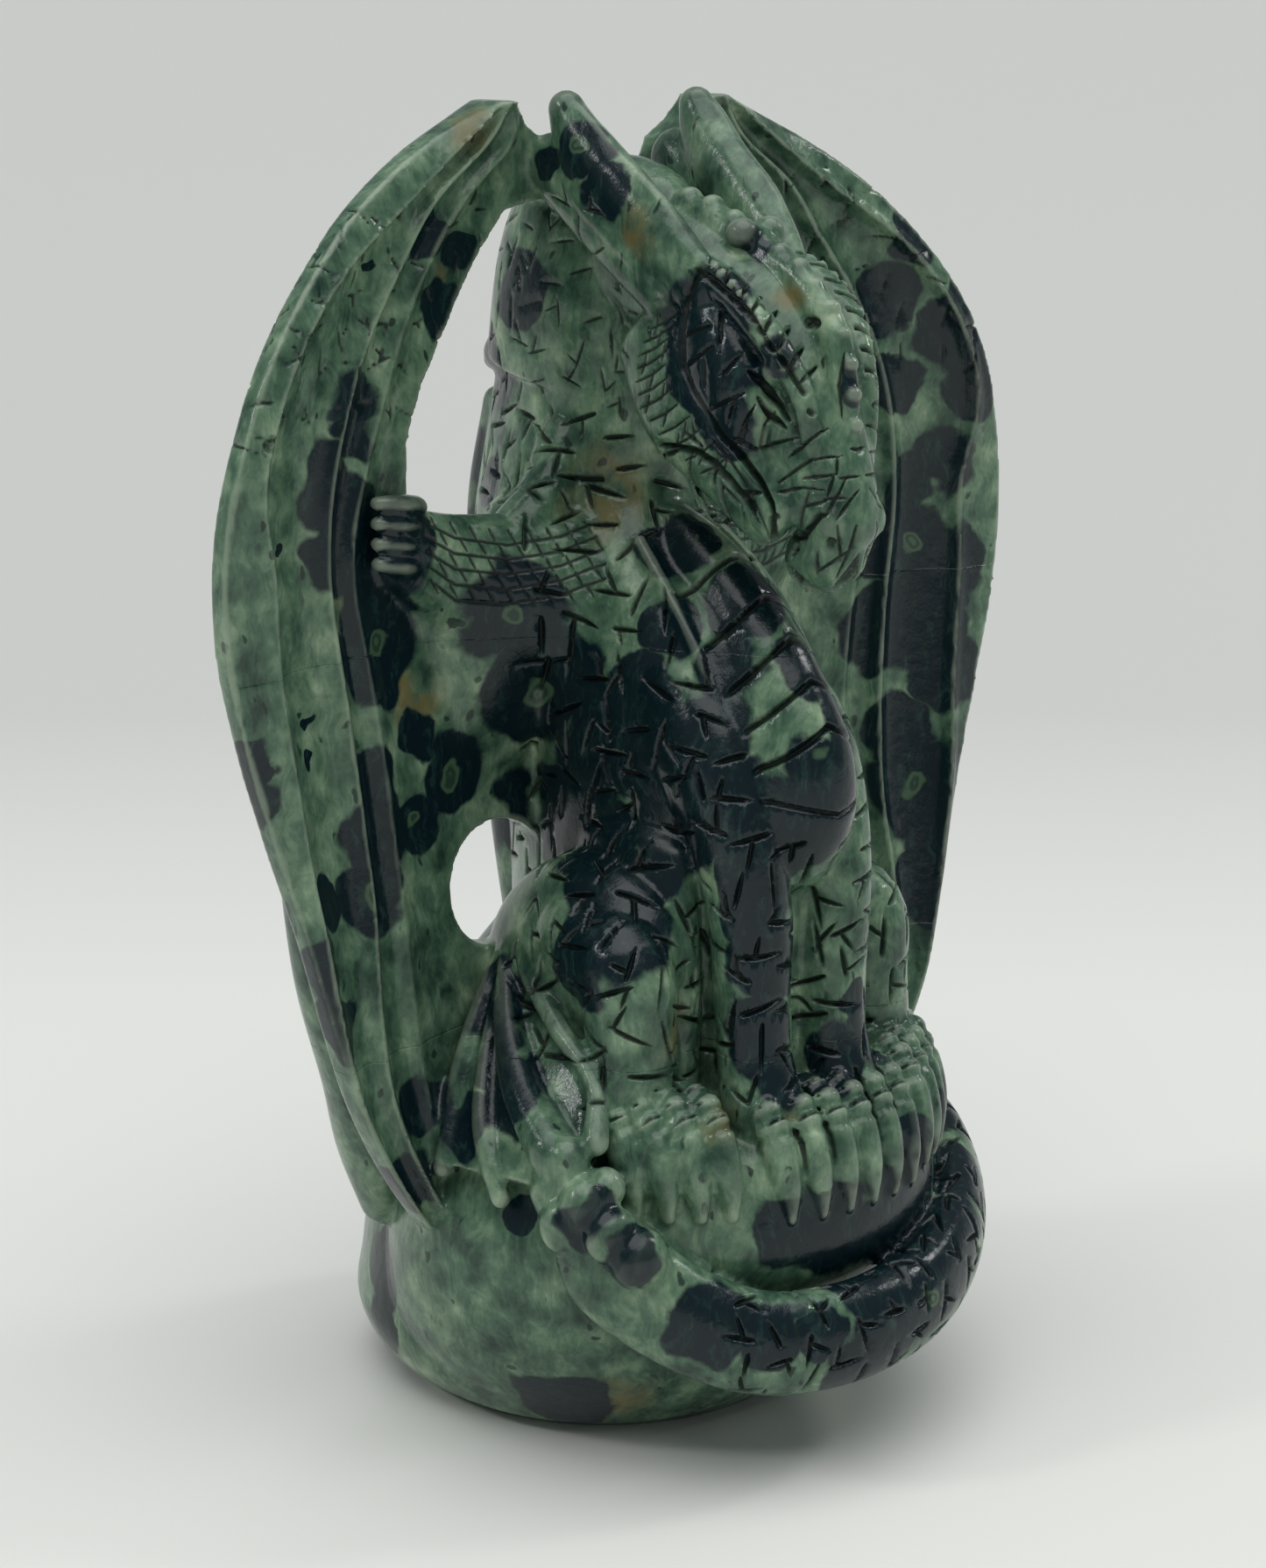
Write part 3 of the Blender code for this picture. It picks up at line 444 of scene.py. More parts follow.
# Feet
# Each foot has broad toes side by side on the ledge. The knuckles are notched across with a few short
# cuts, and a long plain claw runs from each toe down the face of the ledge.
LEDGE_RADIUS = 31
FEET = (((-23.2, -20.6, -17.8, -14.8), 9.0, 45.8), ((14.8, 17.8, 20.6, 23.2), 9.0, 45.8),
        ((-8.4, -4.4, -0.6), 8.4, 44.8), ((3.2, 7.2, 11.0), 8.4, 44.8))
for toes, claws, top in FEET:
    heels = []
    for x in toes:
        brink = LEDGE[1] - math.sqrt(LEDGE_RADIUS**2 - (x - LEDGE[0]) ** 2)
        heels.append((x, brink + claws - 1.2, top - 3.0, 2.8, 2.0))
        limb(middle, [(x, brink + claws + 0.6, top, 1.8, 2.0), (x, brink + claws - 3.4, top - 0.6, 2.1, 2.4),
                      (x, brink + claws * 0.28, top - 4.2, 2.0, 2.3), (x, brink + 0.9, top - 8.6, 1.6, 2.0),
                      (x, brink + 0.4, top - 12.4, 0.7, 1.2)],
             (0, -0.6, 0.8), sides=28, step=0.25, notches=(0.10, 0.52, 1.9, 0.6))
    limb(middle, heels, (0, 0, 1))


# Fusing
# The real dragon was never in pieces: every form above is the same block. Here the masses are mirrored,
# fused, eased like a polished edge, and ground flat below.
GRAIN = 0.40 * MM
twin = paired.copy()
bmesh.ops.scale(twin, vec=(-1, 1, 1), verts=twin.verts)
bmesh.ops.reverse_faces(twin, faces=twin.faces)
for half_clay in (paired, twin):
    shared = bpy.data.meshes.new("half")
    half_clay.to_mesh(shared)
    middle.from_mesh(shared)
    half_clay.free()
block = solid("block", middle)
fuse = block.modifiers.new("fuse", "REMESH")
fuse.mode, fuse.voxel_size = "VOXEL", GRAIN
ease = block.modifiers.new("ease", "SMOOTH")
ease.factor, ease.iterations = 0.5, 4
stone_mesh = settled(block)


# Scale cuts
# The scales are not raised: short tapering cuts are struck into the polished skin with a small wheel.
# They part the flanks, legs and tail into rough plates, finer on the jaw frill and the snout.
def smooth_step(low, high, value):
    """Rise smoothly from nought to one between two values."""
    t = np.clip((value - low) / (high - low), 0.0, 1.0)
    return t * t * (3 - 2 * t)


def read_points(mesh):
    """The places of a mesh's points in millimetres, and which way the skin faces there."""
    places, facings = np.empty(len(mesh.vertices) * 3), np.empty(len(mesh.vertices) * 3)
    mesh.vertices.foreach_get("co", places)
    mesh.vertex_normals.foreach_get("vector", facings)
    return places.reshape(-1, 3) / MM, facings.reshape(-1, 3)


def soften(mesh, spots, weight, rounds):
    """Rub a zone smooth, as with a pad, more where the weight is higher."""
    ends = np.empty(len(mesh.edges) * 2, dtype=np.int64)
    mesh.edges.foreach_get("vertices", ends)
    ends = ends.reshape(-1, 2)
    ends = ends[(weight[ends] > 0.001).any(axis=1)]
    used, ends = np.unique(ends, return_inverse=True)
    ends = ends.reshape(-1, 2)
    meets = np.bincount(ends.ravel(), minlength=len(used))[:, None]
    share, zone = weight[used][:, None], spots[used]
    for _ in range(rounds):
        total = np.column_stack([np.bincount(ends[:, 0], zone[ends[:, 1], axis], len(used))
                                 + np.bincount(ends[:, 1], zone[ends[:, 0], axis], len(used))
                                 for axis in range(3)])
        zone += share * (total / meets - zone)
    spots[used] = zone


spots, leans = read_points(stone_mesh)
X, Y, Z = spots.T
web = (smooth_step(12, 16, np.abs(X)) * smooth_step(31, 26, np.abs(X)) * smooth_step(80, 84, Z)
       * smooth_step(109, 104, Z) * smooth_step(3, 0, Y))
WEB_ROUNDS = 110
soften(stone_mesh, spots, web * 0.9, WEB_ROUNDS)
stone_mesh.vertices.foreach_set("co", (spots * MM).ravel())


def wants_cuts(X, Y, Z):
    """Where the skin carries cuts."""
    return ((np.abs(X) < 19) & (Y < 17) & (Z > 62) | (np.abs(X) < 27) & (Y < -9) & (Z > 38)
            | (np.abs(X) < 34) & (Y < 4) & (Z > 92) & (Z < 113)
            | (np.hypot(X - LEDGE[0], Y - LEDGE[1]) > 31) & (Y < 8) & (Z > 9) & (Z < 40) & (X > -38))


# The skin is given closer points where it is cut
cut_zone = wants_cuts(*spots.T)
fine = bmesh.new()
fine.from_mesh(stone_mesh)
bmesh.ops.subdivide_edges(fine, edges=[edge for edge in fine.edges if cut_zone[edge.verts[0].index]
                                       and cut_zone[edge.verts[1].index]], cuts=1, use_grid_fill=True)
fine.to_mesh(stone_mesh)
fine.free()
spots, leans = read_points(stone_mesh)
X, Y, Z = spots.T
fine_zone = wants_cuts(X, Y, Z)
# dark holds how far each point is painted dark as the bottom of a cut: painted shade, with some wax and dust
sink, dark = np.zeros(len(spots)), np.zeros(len(spots))
by_height = np.argsort(Z)
heights = Z[by_height]


def scattered(zone, spacing, seed):
    """Pick points of a zone no nearer to each other than a spacing, the same ones at every run."""
    draw = np.random.default_rng(seed)
    tries = draw.permutation(np.flatnonzero(zone))[:12000]
    kept = []
    for at in tries:
        if not kept or ((spots[kept] - spots[at]) ** 2).sum(axis=1).min() > spacing**2:
            kept.append(at)
    return kept


# Over one, a cut has a flat floor. The margin is searched round it, and it bites skin this near its line.
CUT_FLOOR, CUT_MARGIN, CUT_BITE = 1.25, 1.5, 3.0


def gouge(start, end, facing, half_width, depth):
    """Strike one cut, deep and blunt near its start and tapering to its end."""
    run = end - start
    long = np.linalg.norm(run)
    across = np.cross(run / long, facing)
    low, high = np.searchsorted(heights, [min(start[2], end[2]) - 1.2, max(start[2], end[2]) + 1.2])
    near = by_height[low:high]
    away = spots[near] - start
    near = near[(away**2).sum(axis=1) < (long + CUT_MARGIN) ** 2]
    away = spots[near] - start
    along = np.clip(away @ run / long**2, 0.0, 1.0)
    reach = half_width * 1.55 * along**0.35 * (1 - along) ** 0.65 + 1e-6
    cut = np.clip(CUT_FLOOR * (1 - np.abs(away @ across) / reach), 0.0, 1.0)
    cut *= (leans[near] @ facing > 0.1) & (np.abs(away @ facing) < CUT_BITE)
    cut *= np.clip(reach / half_width * 1.4, 0.0, 1.0)
    sink[near] = np.maximum(sink[near], depth * cut)
    dark[near] = np.maximum(dark[near], cut)


def strike(zone, spacing, length, half_width, depth, forks, level_share, seed):
    """Strike cuts over a zone, either across or along it, some of them forked."""
    draw = np.random.default_rng(seed + 100)
    for at in scattered(zone, spacing, seed):
        facing = leans[at]
        level = np.cross(facing, (0.0, 0.0, 1.0))
        level /= max(np.linalg.norm(level), 1e-6)
        upward = np.cross(level, facing)
        slant = math.radians(draw.uniform(-24, 24) + (0 if draw.random() < level_share else 90))
        slant += math.pi * (draw.random() < 0.5)
        run = (math.cos(slant) * level + math.sin(slant) * upward) * length * draw.uniform(0.8, 1.25)
        start = spots[at] - run / 2
        gouge(start, start + run, facing, half_width, depth)
        if draw.random() < forks:
            turn = math.radians(draw.choice((-1, 1)) * draw.uniform(50, 85))
            side = np.cross(facing, run)
            branch = (math.cos(turn) * run + math.sin(turn) * side) * draw.uniform(0.5, 0.8)
            joint = start + run * draw.uniform(0.05, 0.5)
            gouge(joint, joint + branch, facing, half_width * 0.85, depth * 0.85)


tail_turn = np.degrees(np.arctan2(Y - LEDGE[1], X - LEDGE[0]))
course_turns, course_heights = zip(*reversed(tail_course))
tail_height = np.interp(tail_turn, course_turns, course_heights)
tail_zone = ((np.hypot(X - LEDGE[0], Y - LEDGE[1]) > 31.5) & (np.abs(Z - tail_height) < 6.5) & (Y < 8)
             & (tail_turn > -122) & (tail_turn < 60))
strike(tail_zone, 3.6, 4.2, 0.50, 0.8, 0.75, 0.35, 5)

flank = (np.abs(X) < 17) & (Z > 64) & (Z < 121) & ~((np.abs(X) < 7.6) & (Y < -14)) & (Y < 17)
flank &= ~((Y > -6) & (np.abs(X) > 13) & (Z < 95))
haunch = (np.abs(X) > 9) & (np.abs(X) < 25) & (Y < -10) & (Z > 48) & (Z < 74)
shank = (np.abs(X) < 12.5) & (Y < -27) & (Z > 47) & (Z < 76) & (np.abs(X) > 1.5)
strike(flank | haunch | shank, 3.9, 5.0, 0.52, 0.85, 0.6, 0.55, 11)

nape = (np.abs(X) > 5) & (Z > 122) & (Z < 146) & (Y > -14) & (Y < 12)
strike(nape, 3.6, 3.4, 0.3, 0.4, 0.5, 0.5, 31)

# Every toe is nicked across its knuckles, and a long cut parts it from the next one
for toes, claws, top in FEET:
    for x, beside in zip(toes, toes[1:] + (None,)):
        brink = LEDGE[1] - math.sqrt(LEDGE_RADIUS**2 - (x - LEDGE[0]) ** 2)
        for share in (0.0, 0.3, 0.6, 0.9):
            knuckle = np.array((x, brink + claws * (1 - 0.75 * share), top + 1.9 - 4.0 * share))
            gouge(knuckle - (1.8, 0, 0), knuckle + (2.2, 0, 0), np.array((0.0, -0.5, 0.87)), 0.42, 0.6)
        if beside is not None:
            cleft = np.array(((x + beside) / 2, brink + claws, top + 1.0))
            gouge(cleft, cleft - (0, claws - 0.5, 10.0), np.array((0.0, -0.75, 0.66)), 0.5, 0.8)


# Face cuts
# The face is cut by hand and not in rows: round the cheek plates, under the brow, across the snout and in
# a lattice on the jaw frill. The cuts are laid out in pixels of the photograph and struck through its
# view, the same on both cheeks.
VIEW_TURN, VIEW_DROP = math.radians(40), math.radians(14.3)
VIEW_REACH, VIEW_HEIGHT, VIEW_SIDE = 0.380, 0.171, 0.0034
PHOTO_WIDE, PHOTO_TALL, PHOTO_FOCUS = 1445, 1790, 3634
ahead = Vector((math.sin(VIEW_TURN), math.cos(VIEW_TURN), 0.0))
right = Vector((math.cos(VIEW_TURN), -math.sin(VIEW_TURN), 0.0))
look = ahead * math.cos(VIEW_DROP) - Vector((0, 0, math.sin(VIEW_DROP)))
upward = right.cross(look)
view_from = -ahead * VIEW_REACH + right * VIEW_SIDE + Vector((0, 0, VIEW_HEIGHT))
sight = np.column_stack((-np.abs(X), Y, Z)) - np.array(view_from) / MM
turned = np.column_stack((np.where(X > 0, -1, 1) * leans[:, 0], leans[:, 1], leans[:, 2]))
squarely = -(turned * sight).sum(axis=1) / np.linalg.norm(sight, axis=1)


def seen(zone):
    """The points of a zone that face the photograph, and their pixels in it."""
    shown = np.flatnonzero(zone & (squarely > 0.12))
    reach = sight[shown] @ look
    return shown, np.column_stack((PHOTO_WIDE / 2 + PHOTO_FOCUS * (sight[shown] @ right) / reach,
                                   PHOTO_TALL / 2 - PHOTO_FOCUS * (sight[shown] @ upward) / reach))


head = seen((Y < 0) & (Z > 104) & (np.abs(X) < 16))


def stroke(line, half_width, depth, blunt=False, part=head):
    """Strike one cut along a line of photograph pixels, tapered unless it is blunt."""
    face, in_photo = part
    line = np.array(line, dtype=float)
    spans = np.linalg.norm(np.diff(line, axis=0), axis=1)
    begins = np.concatenate(([0.0], np.cumsum(spans)))
    gap, share = np.full(len(face), 1e6), np.zeros(len(face))
    for begin, start, run, span in zip(begins, line, np.diff(line, axis=0), spans):
        t = np.clip((in_photo - start) @ run / span**2, 0.0, 1.0)
        away = np.linalg.norm(in_photo - start - t[:, None] * run, axis=1)
        share = np.where(away < gap, (begin + t * span) / begins[-1], share)
        gap = np.minimum(gap, away)
    taper = 1.5 * np.clip(share, 0.02, 1) ** 0.3 * np.clip(1 - share, 0.02, 1) ** 0.5
    cut = np.clip(CUT_FLOOR * (1 - gap / (half_width * (1.0 if blunt else taper))), 0.0, 1.0)
    sink[face] = np.maximum(sink[face], depth * cut)
    dark[face] = np.maximum(dark[face], cut)


# Round the cheek plate, under the brow and along the jaw
stroke([(812, 298), (795, 318), (783, 345), (778, 380), (780, 420), (790, 445), (812, 480)],
       4, 0.7, blunt=True)
stroke([(806, 470), (822, 497), (845, 520), (868, 550), (880, 575), (884, 600), (890, 625)], 6, 1.3)
stroke([(812, 503), (835, 530), (850, 552), (864, 582), (880, 618)], 3, 0.5)
# This cut's darkening is also the painted shadow that the frill casts on the neck below it
stroke([(752, 508), (790, 515), (812, 528), (832, 548), (850, 570), (866, 598)], 7, 1.4)
stroke([(798, 308), (820, 326), (838, 342), (852, 356), (864, 372), (876, 394), (894, 412), (906, 432),
        (918, 448)], 6, 1.0, blunt=True)
stroke([(880, 592), (886, 622), (898, 648), (918, 668), (946, 684)], 5, 1.3, blunt=True)
# Between the scales of the brow and of the crest
for line in ([(834, 306), (826, 326)], [(854, 324), (844, 344)], [(868, 340), (856, 360)],
             [(886, 356), (868, 384)], [(900, 376), (884, 404)], [(916, 398), (898, 424)],
             [(932, 418), (908, 444)], [(940, 312), (962, 318)], [(960, 342), (986, 350)],
             [(966, 372), (990, 376)], [(972, 400), (996, 398)]):
    stroke(line, 4, 0.8)
# The cheek
for line in ([(783, 382), (812, 370)], [(783, 418), (815, 392)], [(802, 408), (804, 446)],
             [(822, 428), (846, 404)], [(824, 350), (820, 400)],
             [(812, 466), (835, 455), (850, 448)], [(838, 452), (830, 484)],
             [(838, 508), (852, 478), (862, 462)], [(868, 512), (874, 486), (886, 468)],
             [(862, 516), (885, 506), (908, 500)], [(900, 522), (925, 502), (946, 488)]):
    stroke(line, 3.5, 0.6)
for line in ([(856, 424), (878, 446), (892, 466), (900, 482)], [(866, 454), (880, 474), (898, 490)],
             [(890, 440), (902, 470), (912, 508)]):
    stroke(line, 6, 1.0)
# The snout, the nose and the jaw
for line in ([(890, 550), (910, 535), (925, 526), (945, 522), (964, 520)],
             [(916, 546), (940, 544), (956, 541)],
             [(888, 561), (915, 557), (942, 560)], [(956, 524), (955, 542)], [(944, 566), (953, 540)],
             [(958, 546), (984, 543)], [(954, 594), (972, 570), (982, 558)], [(916, 579), (942, 572)],
             [(940, 590), (958, 562), (966, 546)], [(940, 570), (966, 568)],
             [(912, 602), (916, 580), (924, 558)],
             [(972, 512), (988, 514)], [(935, 652), (955, 639), (976, 625)], [(956, 600), (960, 642)],
             [(978, 600), (970, 630), (954, 662)], [(994, 618), (968, 652), (950, 672)],
             [(1006, 598), (986, 634), (962, 664)], [(932, 656), (932, 630)],
             [(964, 402), (957, 440), (962, 482)]):
    stroke(line, 3.2, 0.45)
for x, y, radius in ((912, 612, 8), (947, 620, 7), (908, 663, 8), (926, 368, 9), (925, 470, 6),
                     (883, 590, 6)):
    stroke([(x, y), (x + 3, y + 1)], radius, 0.9, blunt=True)
# The lattice of the jaw frill
frill_left = ((330, 770), (360, 745), (400, 727), (430, 722), (465, 727), (480, 737), (510, 760),
              (545, 800), (572, 835))
for number in range(12):
    y = 376 + 15 * number
    x = np.interp(y, *zip(*frill_left))
    stroke([(x + 3, y), (x + 20, y - 8), (x + 38, y - 22)], 2.6, 0.35)
    stroke([(x + 8 + 10 * (number % 3), y + 6), (x + 13 + 10 * (number % 3), y - 16)], 2.6, 0.35)
# Fine rows of scales sag along the arm below the upper opening
arm = seen((np.abs(X) > 9) & (np.abs(X) < 34) & (Y < 4) & (Z > 92) & (Z < 113))
for row in range(5):
    stroke([(478 + 5 * row, 592 + 19 * row), (520, 614 + 18 * row), (580, 622 + 17 * row),
            (640, 612 + 17 * row), (690, 592 + 17 * row)], 2.6, 0.28, blunt=True, part=arm)
    for number in range(9):
        x, y = 492 + 22 * number + 11 * (row % 2), 604 + 18 * row - 0.0016 * (22 * number - 95) ** 2
        stroke([(x, y), (x + 9, y + 16)], 2.6, 0.28, part=arm)


# Chest cuts
# Broad plates cross the throat and the chest. Each is parted from the next by a plane cut square to the
# throat's line, which droops to either side.
for y, z, droop, steep, wide, deep in ((-24.0, 106.0, 0.05, 0.55, 0.55, 0.9),
                                       (-29.0, 101.8, 0.30, 0.7, 0.55, 1.0),
                                       (-33.2, 97.6, 0.36, 0.75, 0.55, 1.0),
                                       (-36.8, 93.4, 0.42, 0.85, 0.5, 1.0),
                                       (-40.0, 88.8, 0.5, 0.95, 0.55, 1.0),
                                       (-41.0, 78.6, -0.25, 1.0, 0.4, 0.6)):
    plane = (Z - z) * steep + (Y - y) * math.sqrt(1 - steep * steep) + droop * np.abs(X)
    zone = (np.abs(X) < 7.6) & (Y < -15) & (np.abs(Z - z) < 12) & (leans[:, 1] < 0.2)
    cut = np.clip(CUT_FLOOR * (1 - np.abs(plane) / wide), 0.0, 1.0)
    cut *= zone * smooth_step(7.6, 6.2, np.abs(X))
    sink = np.maximum(sink, deep * cut)
    # The plate cuts are painted dark as well: painted shade under each plate's lower edge
    dark = np.maximum(dark, cut)

# How far each point stands out of a rubbed copy tells the crests, which are painted pale as a highlight
CREST_ROUNDS = 24
rubbed = spots.copy()
soften(stone_mesh, rubbed, np.where(fine_zone, 1.0, 0.25), CREST_ROUNDS)
crest = ((spots - rubbed) * leans).sum(axis=1)
spots -= leans * sink[:, None]
spots[:, 2] = np.maximum(spots[:, 2], 0.0)
stone_mesh.vertices.foreach_set("co", (spots * MM).ravel())
for name, values in (("cut_depth", dark), ("crest", crest)):
    marks = stone_mesh.attributes.new(name, "FLOAT", "POINT")
    marks.data.foreach_set("value", values)
stone_mesh.update()


# Storeys
# The model of the block is kept as three closed pieces that meet level, so that each stays light to load.
# The parting lies in the stone and has no cut of its own.
RIM_REACH, STOREY_FACES = 0.6, 196000


def slab(mesh, low, high, faces, name):
    """One storey of the carving, closed where the next one meets it."""
    clay = bmesh.new()
    clay.from_mesh(mesh)
    for height, outward in ((low, (0, 0, -1)), (high, (0, 0, 1))):
        if height is None:
            continue
        made = bmesh.ops.bisect_plane(clay, geom=clay.verts[:] + clay.edges[:] + clay.faces[:], dist=1e-7,
                                      plane_co=(0, 0, height * MM), plane_no=outward, clear_outer=True)
        rim = [part for part in made["geom_cut"] if isinstance(part, bmesh.types.BMEdge)]
        bmesh.ops.triangle_fill(clay, edges=rim, use_beauty=True, normal=outward)
    storey = solid(name, clay)
    # The points beside a joint stay as they are, so that the two skins meet exactly
    rims = storey.vertex_groups.new(name="rims")
    rims.add([point.index for point in storey.data.vertices
              if any(height is not None and abs(point.co.z - height * MM) < RIM_REACH * MM
                     for height in (low, high))], 1.0, "REPLACE")
    facets = storey.modifiers.new("facets", "DECIMATE")
    facets.vertex_group, facets.invert_vertex_group = "rims", True
    facets.ratio = min(1.0, faces / sum(len(face.vertices) - 2 for face in storey.data.polygons))
    done = settled(storey)
    done.name = name
    for face in done.polygons:
        face.use_smooth = abs(face.normal.z) < 0.9999 or all(
            height is None or abs(face.center.z - height * MM) > 0.01 * MM for height in (low, high))
    storey = bpy.data.objects.new(name, done)
    scene.collection.objects.link(storey)
    return storey


STOREYS = ((None, 50.0, "carving_foot"), (50.0, 96.0, "carving_middle"), (96.0, None, "carving_top"))
carvings = [slab(stone_mesh, low, high, STOREY_FACES, name) for low, high, name in STOREYS]


# Stone
# Orbicular jasper: a mottled green ground with near-black blue-green orbs, some with a pale green eye,
# and ochre stains. The pattern is solid, so it runs through the carving and shows on every cut.
ORBS = [(-36, -3, 96, 5.6), (-36, -3, 99, 5.0), (-25, -2, 80, 4.2), (-38, -5, 75, 4.9),
        (-31, -4, 75, 3.4), (-40, -6, 69, 4.4), (-50, -11, 63, 3.4), (-48, -11, 56, 3.6),
        (-35, -9, 43, 3.6), (-32, -14, 41, 3.4), (-39, -12, 34, 3.8), (-20, -8, 99, 5.6),
        (-15, -5, 89, 5.8), (-42, -3, 108, 4.4), (-43, -5, 116, 4.2), (-39, -3, 125, 3.8),
        (-27, -1, 142, 2.3), (-25, 0, 134, 2.8), (-22, 0, 140, 2.2), (-36, -3, 140, 0.9),
        (-51, -6, 110, 1.0), (-57, -9, 83, 3.4), (-57, -9, 87, 2.6), (-48, -6, 90, 0.8),
        (-48, -6, 86, 0.8), (-12, -10, 152, 3.6), (-11, -14, 147, 2.6), (-11, -4, 150, 2.2),
        (-10, 4, 135, 4.4), (-10, -30, 135, 4.6), (-9, -31, 129, 4.6), (-8, -38, 131, 3.0),
        (-3, -29, 143, 2.3), (-1, -46, 127, 3.2), (-34, -6, 109, 4.6), (-36, -3, 104, 4.6),
        (-38, -4, 122, 3.4), (-40, -4, 112, 4.6), (-3, -19, 109, 3.2), (-10, -23, 99, 3.4),
        (-8, -31, 96, 3.8), (0, -30, 105, 3.0), (-3, -43, 84, 4.4), (-9, -38, 78, 4.6),
        (3, -40, 90, 3.6), (-15, -14, 81, 3.0), (-13, -21, 91, 4.4), (-12, -27, 76, 5.6),
        (-14, -17, 72, 4.6), (-13, -7, 70, 3.6), (-10, -39, 68, 4.6), (-9, -39, 53, 4.4),
        (-20, -29, 66, 5.4), (-17, -28, 71, 4.0), (2, -39, 48, 3.6), (6, -37, 54, 2.4),
        (-9, -43, 31, 4.0), (-3, -45, 30, 5.0), (7, -44, 30, 5.0), (14, -41, 32, 4.5),
        (-26, -10, 54, 4.4), (-30, -19, 46, 4.2), (-31, -15, 50, 4.0), (-31, -34, 35, 3.0),
        (-27, -37, 31, 3.0), (-31, -22, 33, 2.3), (-24, -22, 6, 5.6), (-30, 6, 17, 4.6),
        (-31, 5, 9, 3.0), (-21, -44, 23, 4.6), (-15, -47, 21, 3.6), (0, -51, 19, 5.0), (8, -50, 21, 5.4),
        (15, -48, 24, 5.0), (-9, -49, 20, 2.4), (-13, -18, 85, 6.4), (-12, -10, 92, 5.0),
        (-13, -12, 78, 6.0), (-12, -24, 84, 6.0), (-11, -31, 88, 4.6), (-10, -33, 80, 5.0),
        (-8, -37, 73, 4.4), (-3, -40, 78, 5.4), (2, -41, 84, 4.6), (0, -37, 96, 4.2),
        (-3, -28, 102, 4.2), (-5, -18, 107, 3.6), (-6, -37, 62, 4.6), (-6, -38, 48, 3.4),
        (-22, -24, 62, 4.6), (-18, -22, 68, 4.6), (-14, -24, 56, 3.4), (7, -36, 48, 4.0),
        (-9, -26, 133, 4.6), (-8, -31, 124, 4.0), (-8, -26, 127, 3.4), (-15, -6, 75, 4.6),
        (-30, -4, 86, 3.0), (-38, -5, 82, 3.0), (-47, -9, 70, 2.8), (50, -9, 110, 4.6),
        (48, -7, 89, 5.6), (52, -9, 97, 4.4), (49, -10, 62, 4.8), (44, -6, 120, 3.6), (46, -7, 107, 4.0),
        (40, -6, 98, 3.6), (-1, -49, 25, 5.0), (8, -47, 26, 5.4), (17, -45, 26, 5.0), (24, -38, 28, 4.6),
        (30, -28, 30, 4.2), (-4, -49, 15, 4.0), (12, -44, 36, 4.0), (20, -38, 36, 3.6),
        (42, -4, 131, 4.2), (45, -7, 139, 3.6), (51, -8, 127, 4.6), (47, -5, 99, 5.6), (41, -5, 89, 4.8),
        (51, -8, 83, 5.0), (46, -8, 68, 6.2), (46, -11, 55, 5.0), (54, -9, 120, 4.0), (43, -8, 76, 4.4)]
EYES = [(-36, -3, 97, 1.7), (-25, -2, 80, 1.4), (-31, -4, 75, 1.2), (-41, -7, 69, 1.7),
        (-51, -11, 59, 1.5), (-20, -8, 99, 1.6), (-15, -5, 89, 2.0), (-12, -10, 153, 1.3),
        (-26, -22, 5, 2.4), (-3, -43, 87, 2.2), (-54, -9, 122, 1.1), (47, -5, 99, 1.6),
        (46, -8, 68, 1.8), (-26, -10, 56, 1.4), (-3, -19, 109, 1.0), (8, -50, 21, 1.6),
        (-16, -29, 61, 2.0)]
STAINS = [(-21, -4, 154, 3.6), (-11, -19, 143, 3.4), (-7, -9, 112, 6.0), (-14, -37, 43, 3.4),
          (-1, -48, 113, 2.6), (-10, 0, 133, 1.3), (-3, -35, 137, 2.2), (-17, -29, 53, 4.4),
          (-22, -26, 6, 6.5), (-40, -3, 103, 3.2), (-30, -2, 90, 4.4), (-24, 0, 137, 1.8),
          (-6, -40, 45, 2.4)]
ORB_DARK, ORB_PALE = (0.0030, 0.0120, 0.0165, 1), (0.016, 0.044, 0.040, 1)
EYE_GREEN, EYE_RIM = (0.060, 0.115, 0.062, 1), (0.012, 0.030, 0.026, 1)
# The last colour is the painted shade in the bottoms of the cuts, with some wax and dust
OCHRE, SPECK, WAX_AND_SHADE = (0.150, 0.105, 0.028, 1), (0.008, 0.020, 0.016, 1), (0.0035, 0.0080, 0.0070, 1)
# A pale colour painted on the crests as a painted highlight
CREST_HIGHLIGHT = (0.350, 0.425, 0.320, 1)
stone.use_nodes = True
nodes, links = stone.node_tree.nodes, stone.node_tree.links
shader = nodes["Principled BSDF"]
shader.inputs["IOR"].default_value = 1.54
shader.inputs["Specular IOR Level"].default_value = 0.32


def node(kind, feeds, **settings):
    """Add a shader node, set its options and feed its sockets with values or outputs."""
    made = nodes.new("ShaderNode" + kind)
    for key, value in settings.items():
        setattr(made, key, value)
    for socket, value in feeds.items():
        if isinstance(value, bpy.types.NodeSocket):
            links.new(value, made.inputs[socket])
        else:
            made.inputs[socket].default_value = value
    return made


def sums(operation, first, second=0.0, third=0.0):
    """One step of arithmetic on values."""
    return node("Math", {0: first, 1: second, 2: third}, operation=operation).outputs[0]


def rising(value, low, high):
    """Nought below one value, one above another, smooth between."""
    return node("MapRange", {"Value": value, "From Min": low, "From Max": high},
                interpolation_type="SMOOTHSTEP").outputs["Result"]


def blended(share, first, second):
    """A colour between two."""
    return node("Mix", {"Factor": share, "A": first, "B": second}, data_type="RGBA").outputs["Result"]


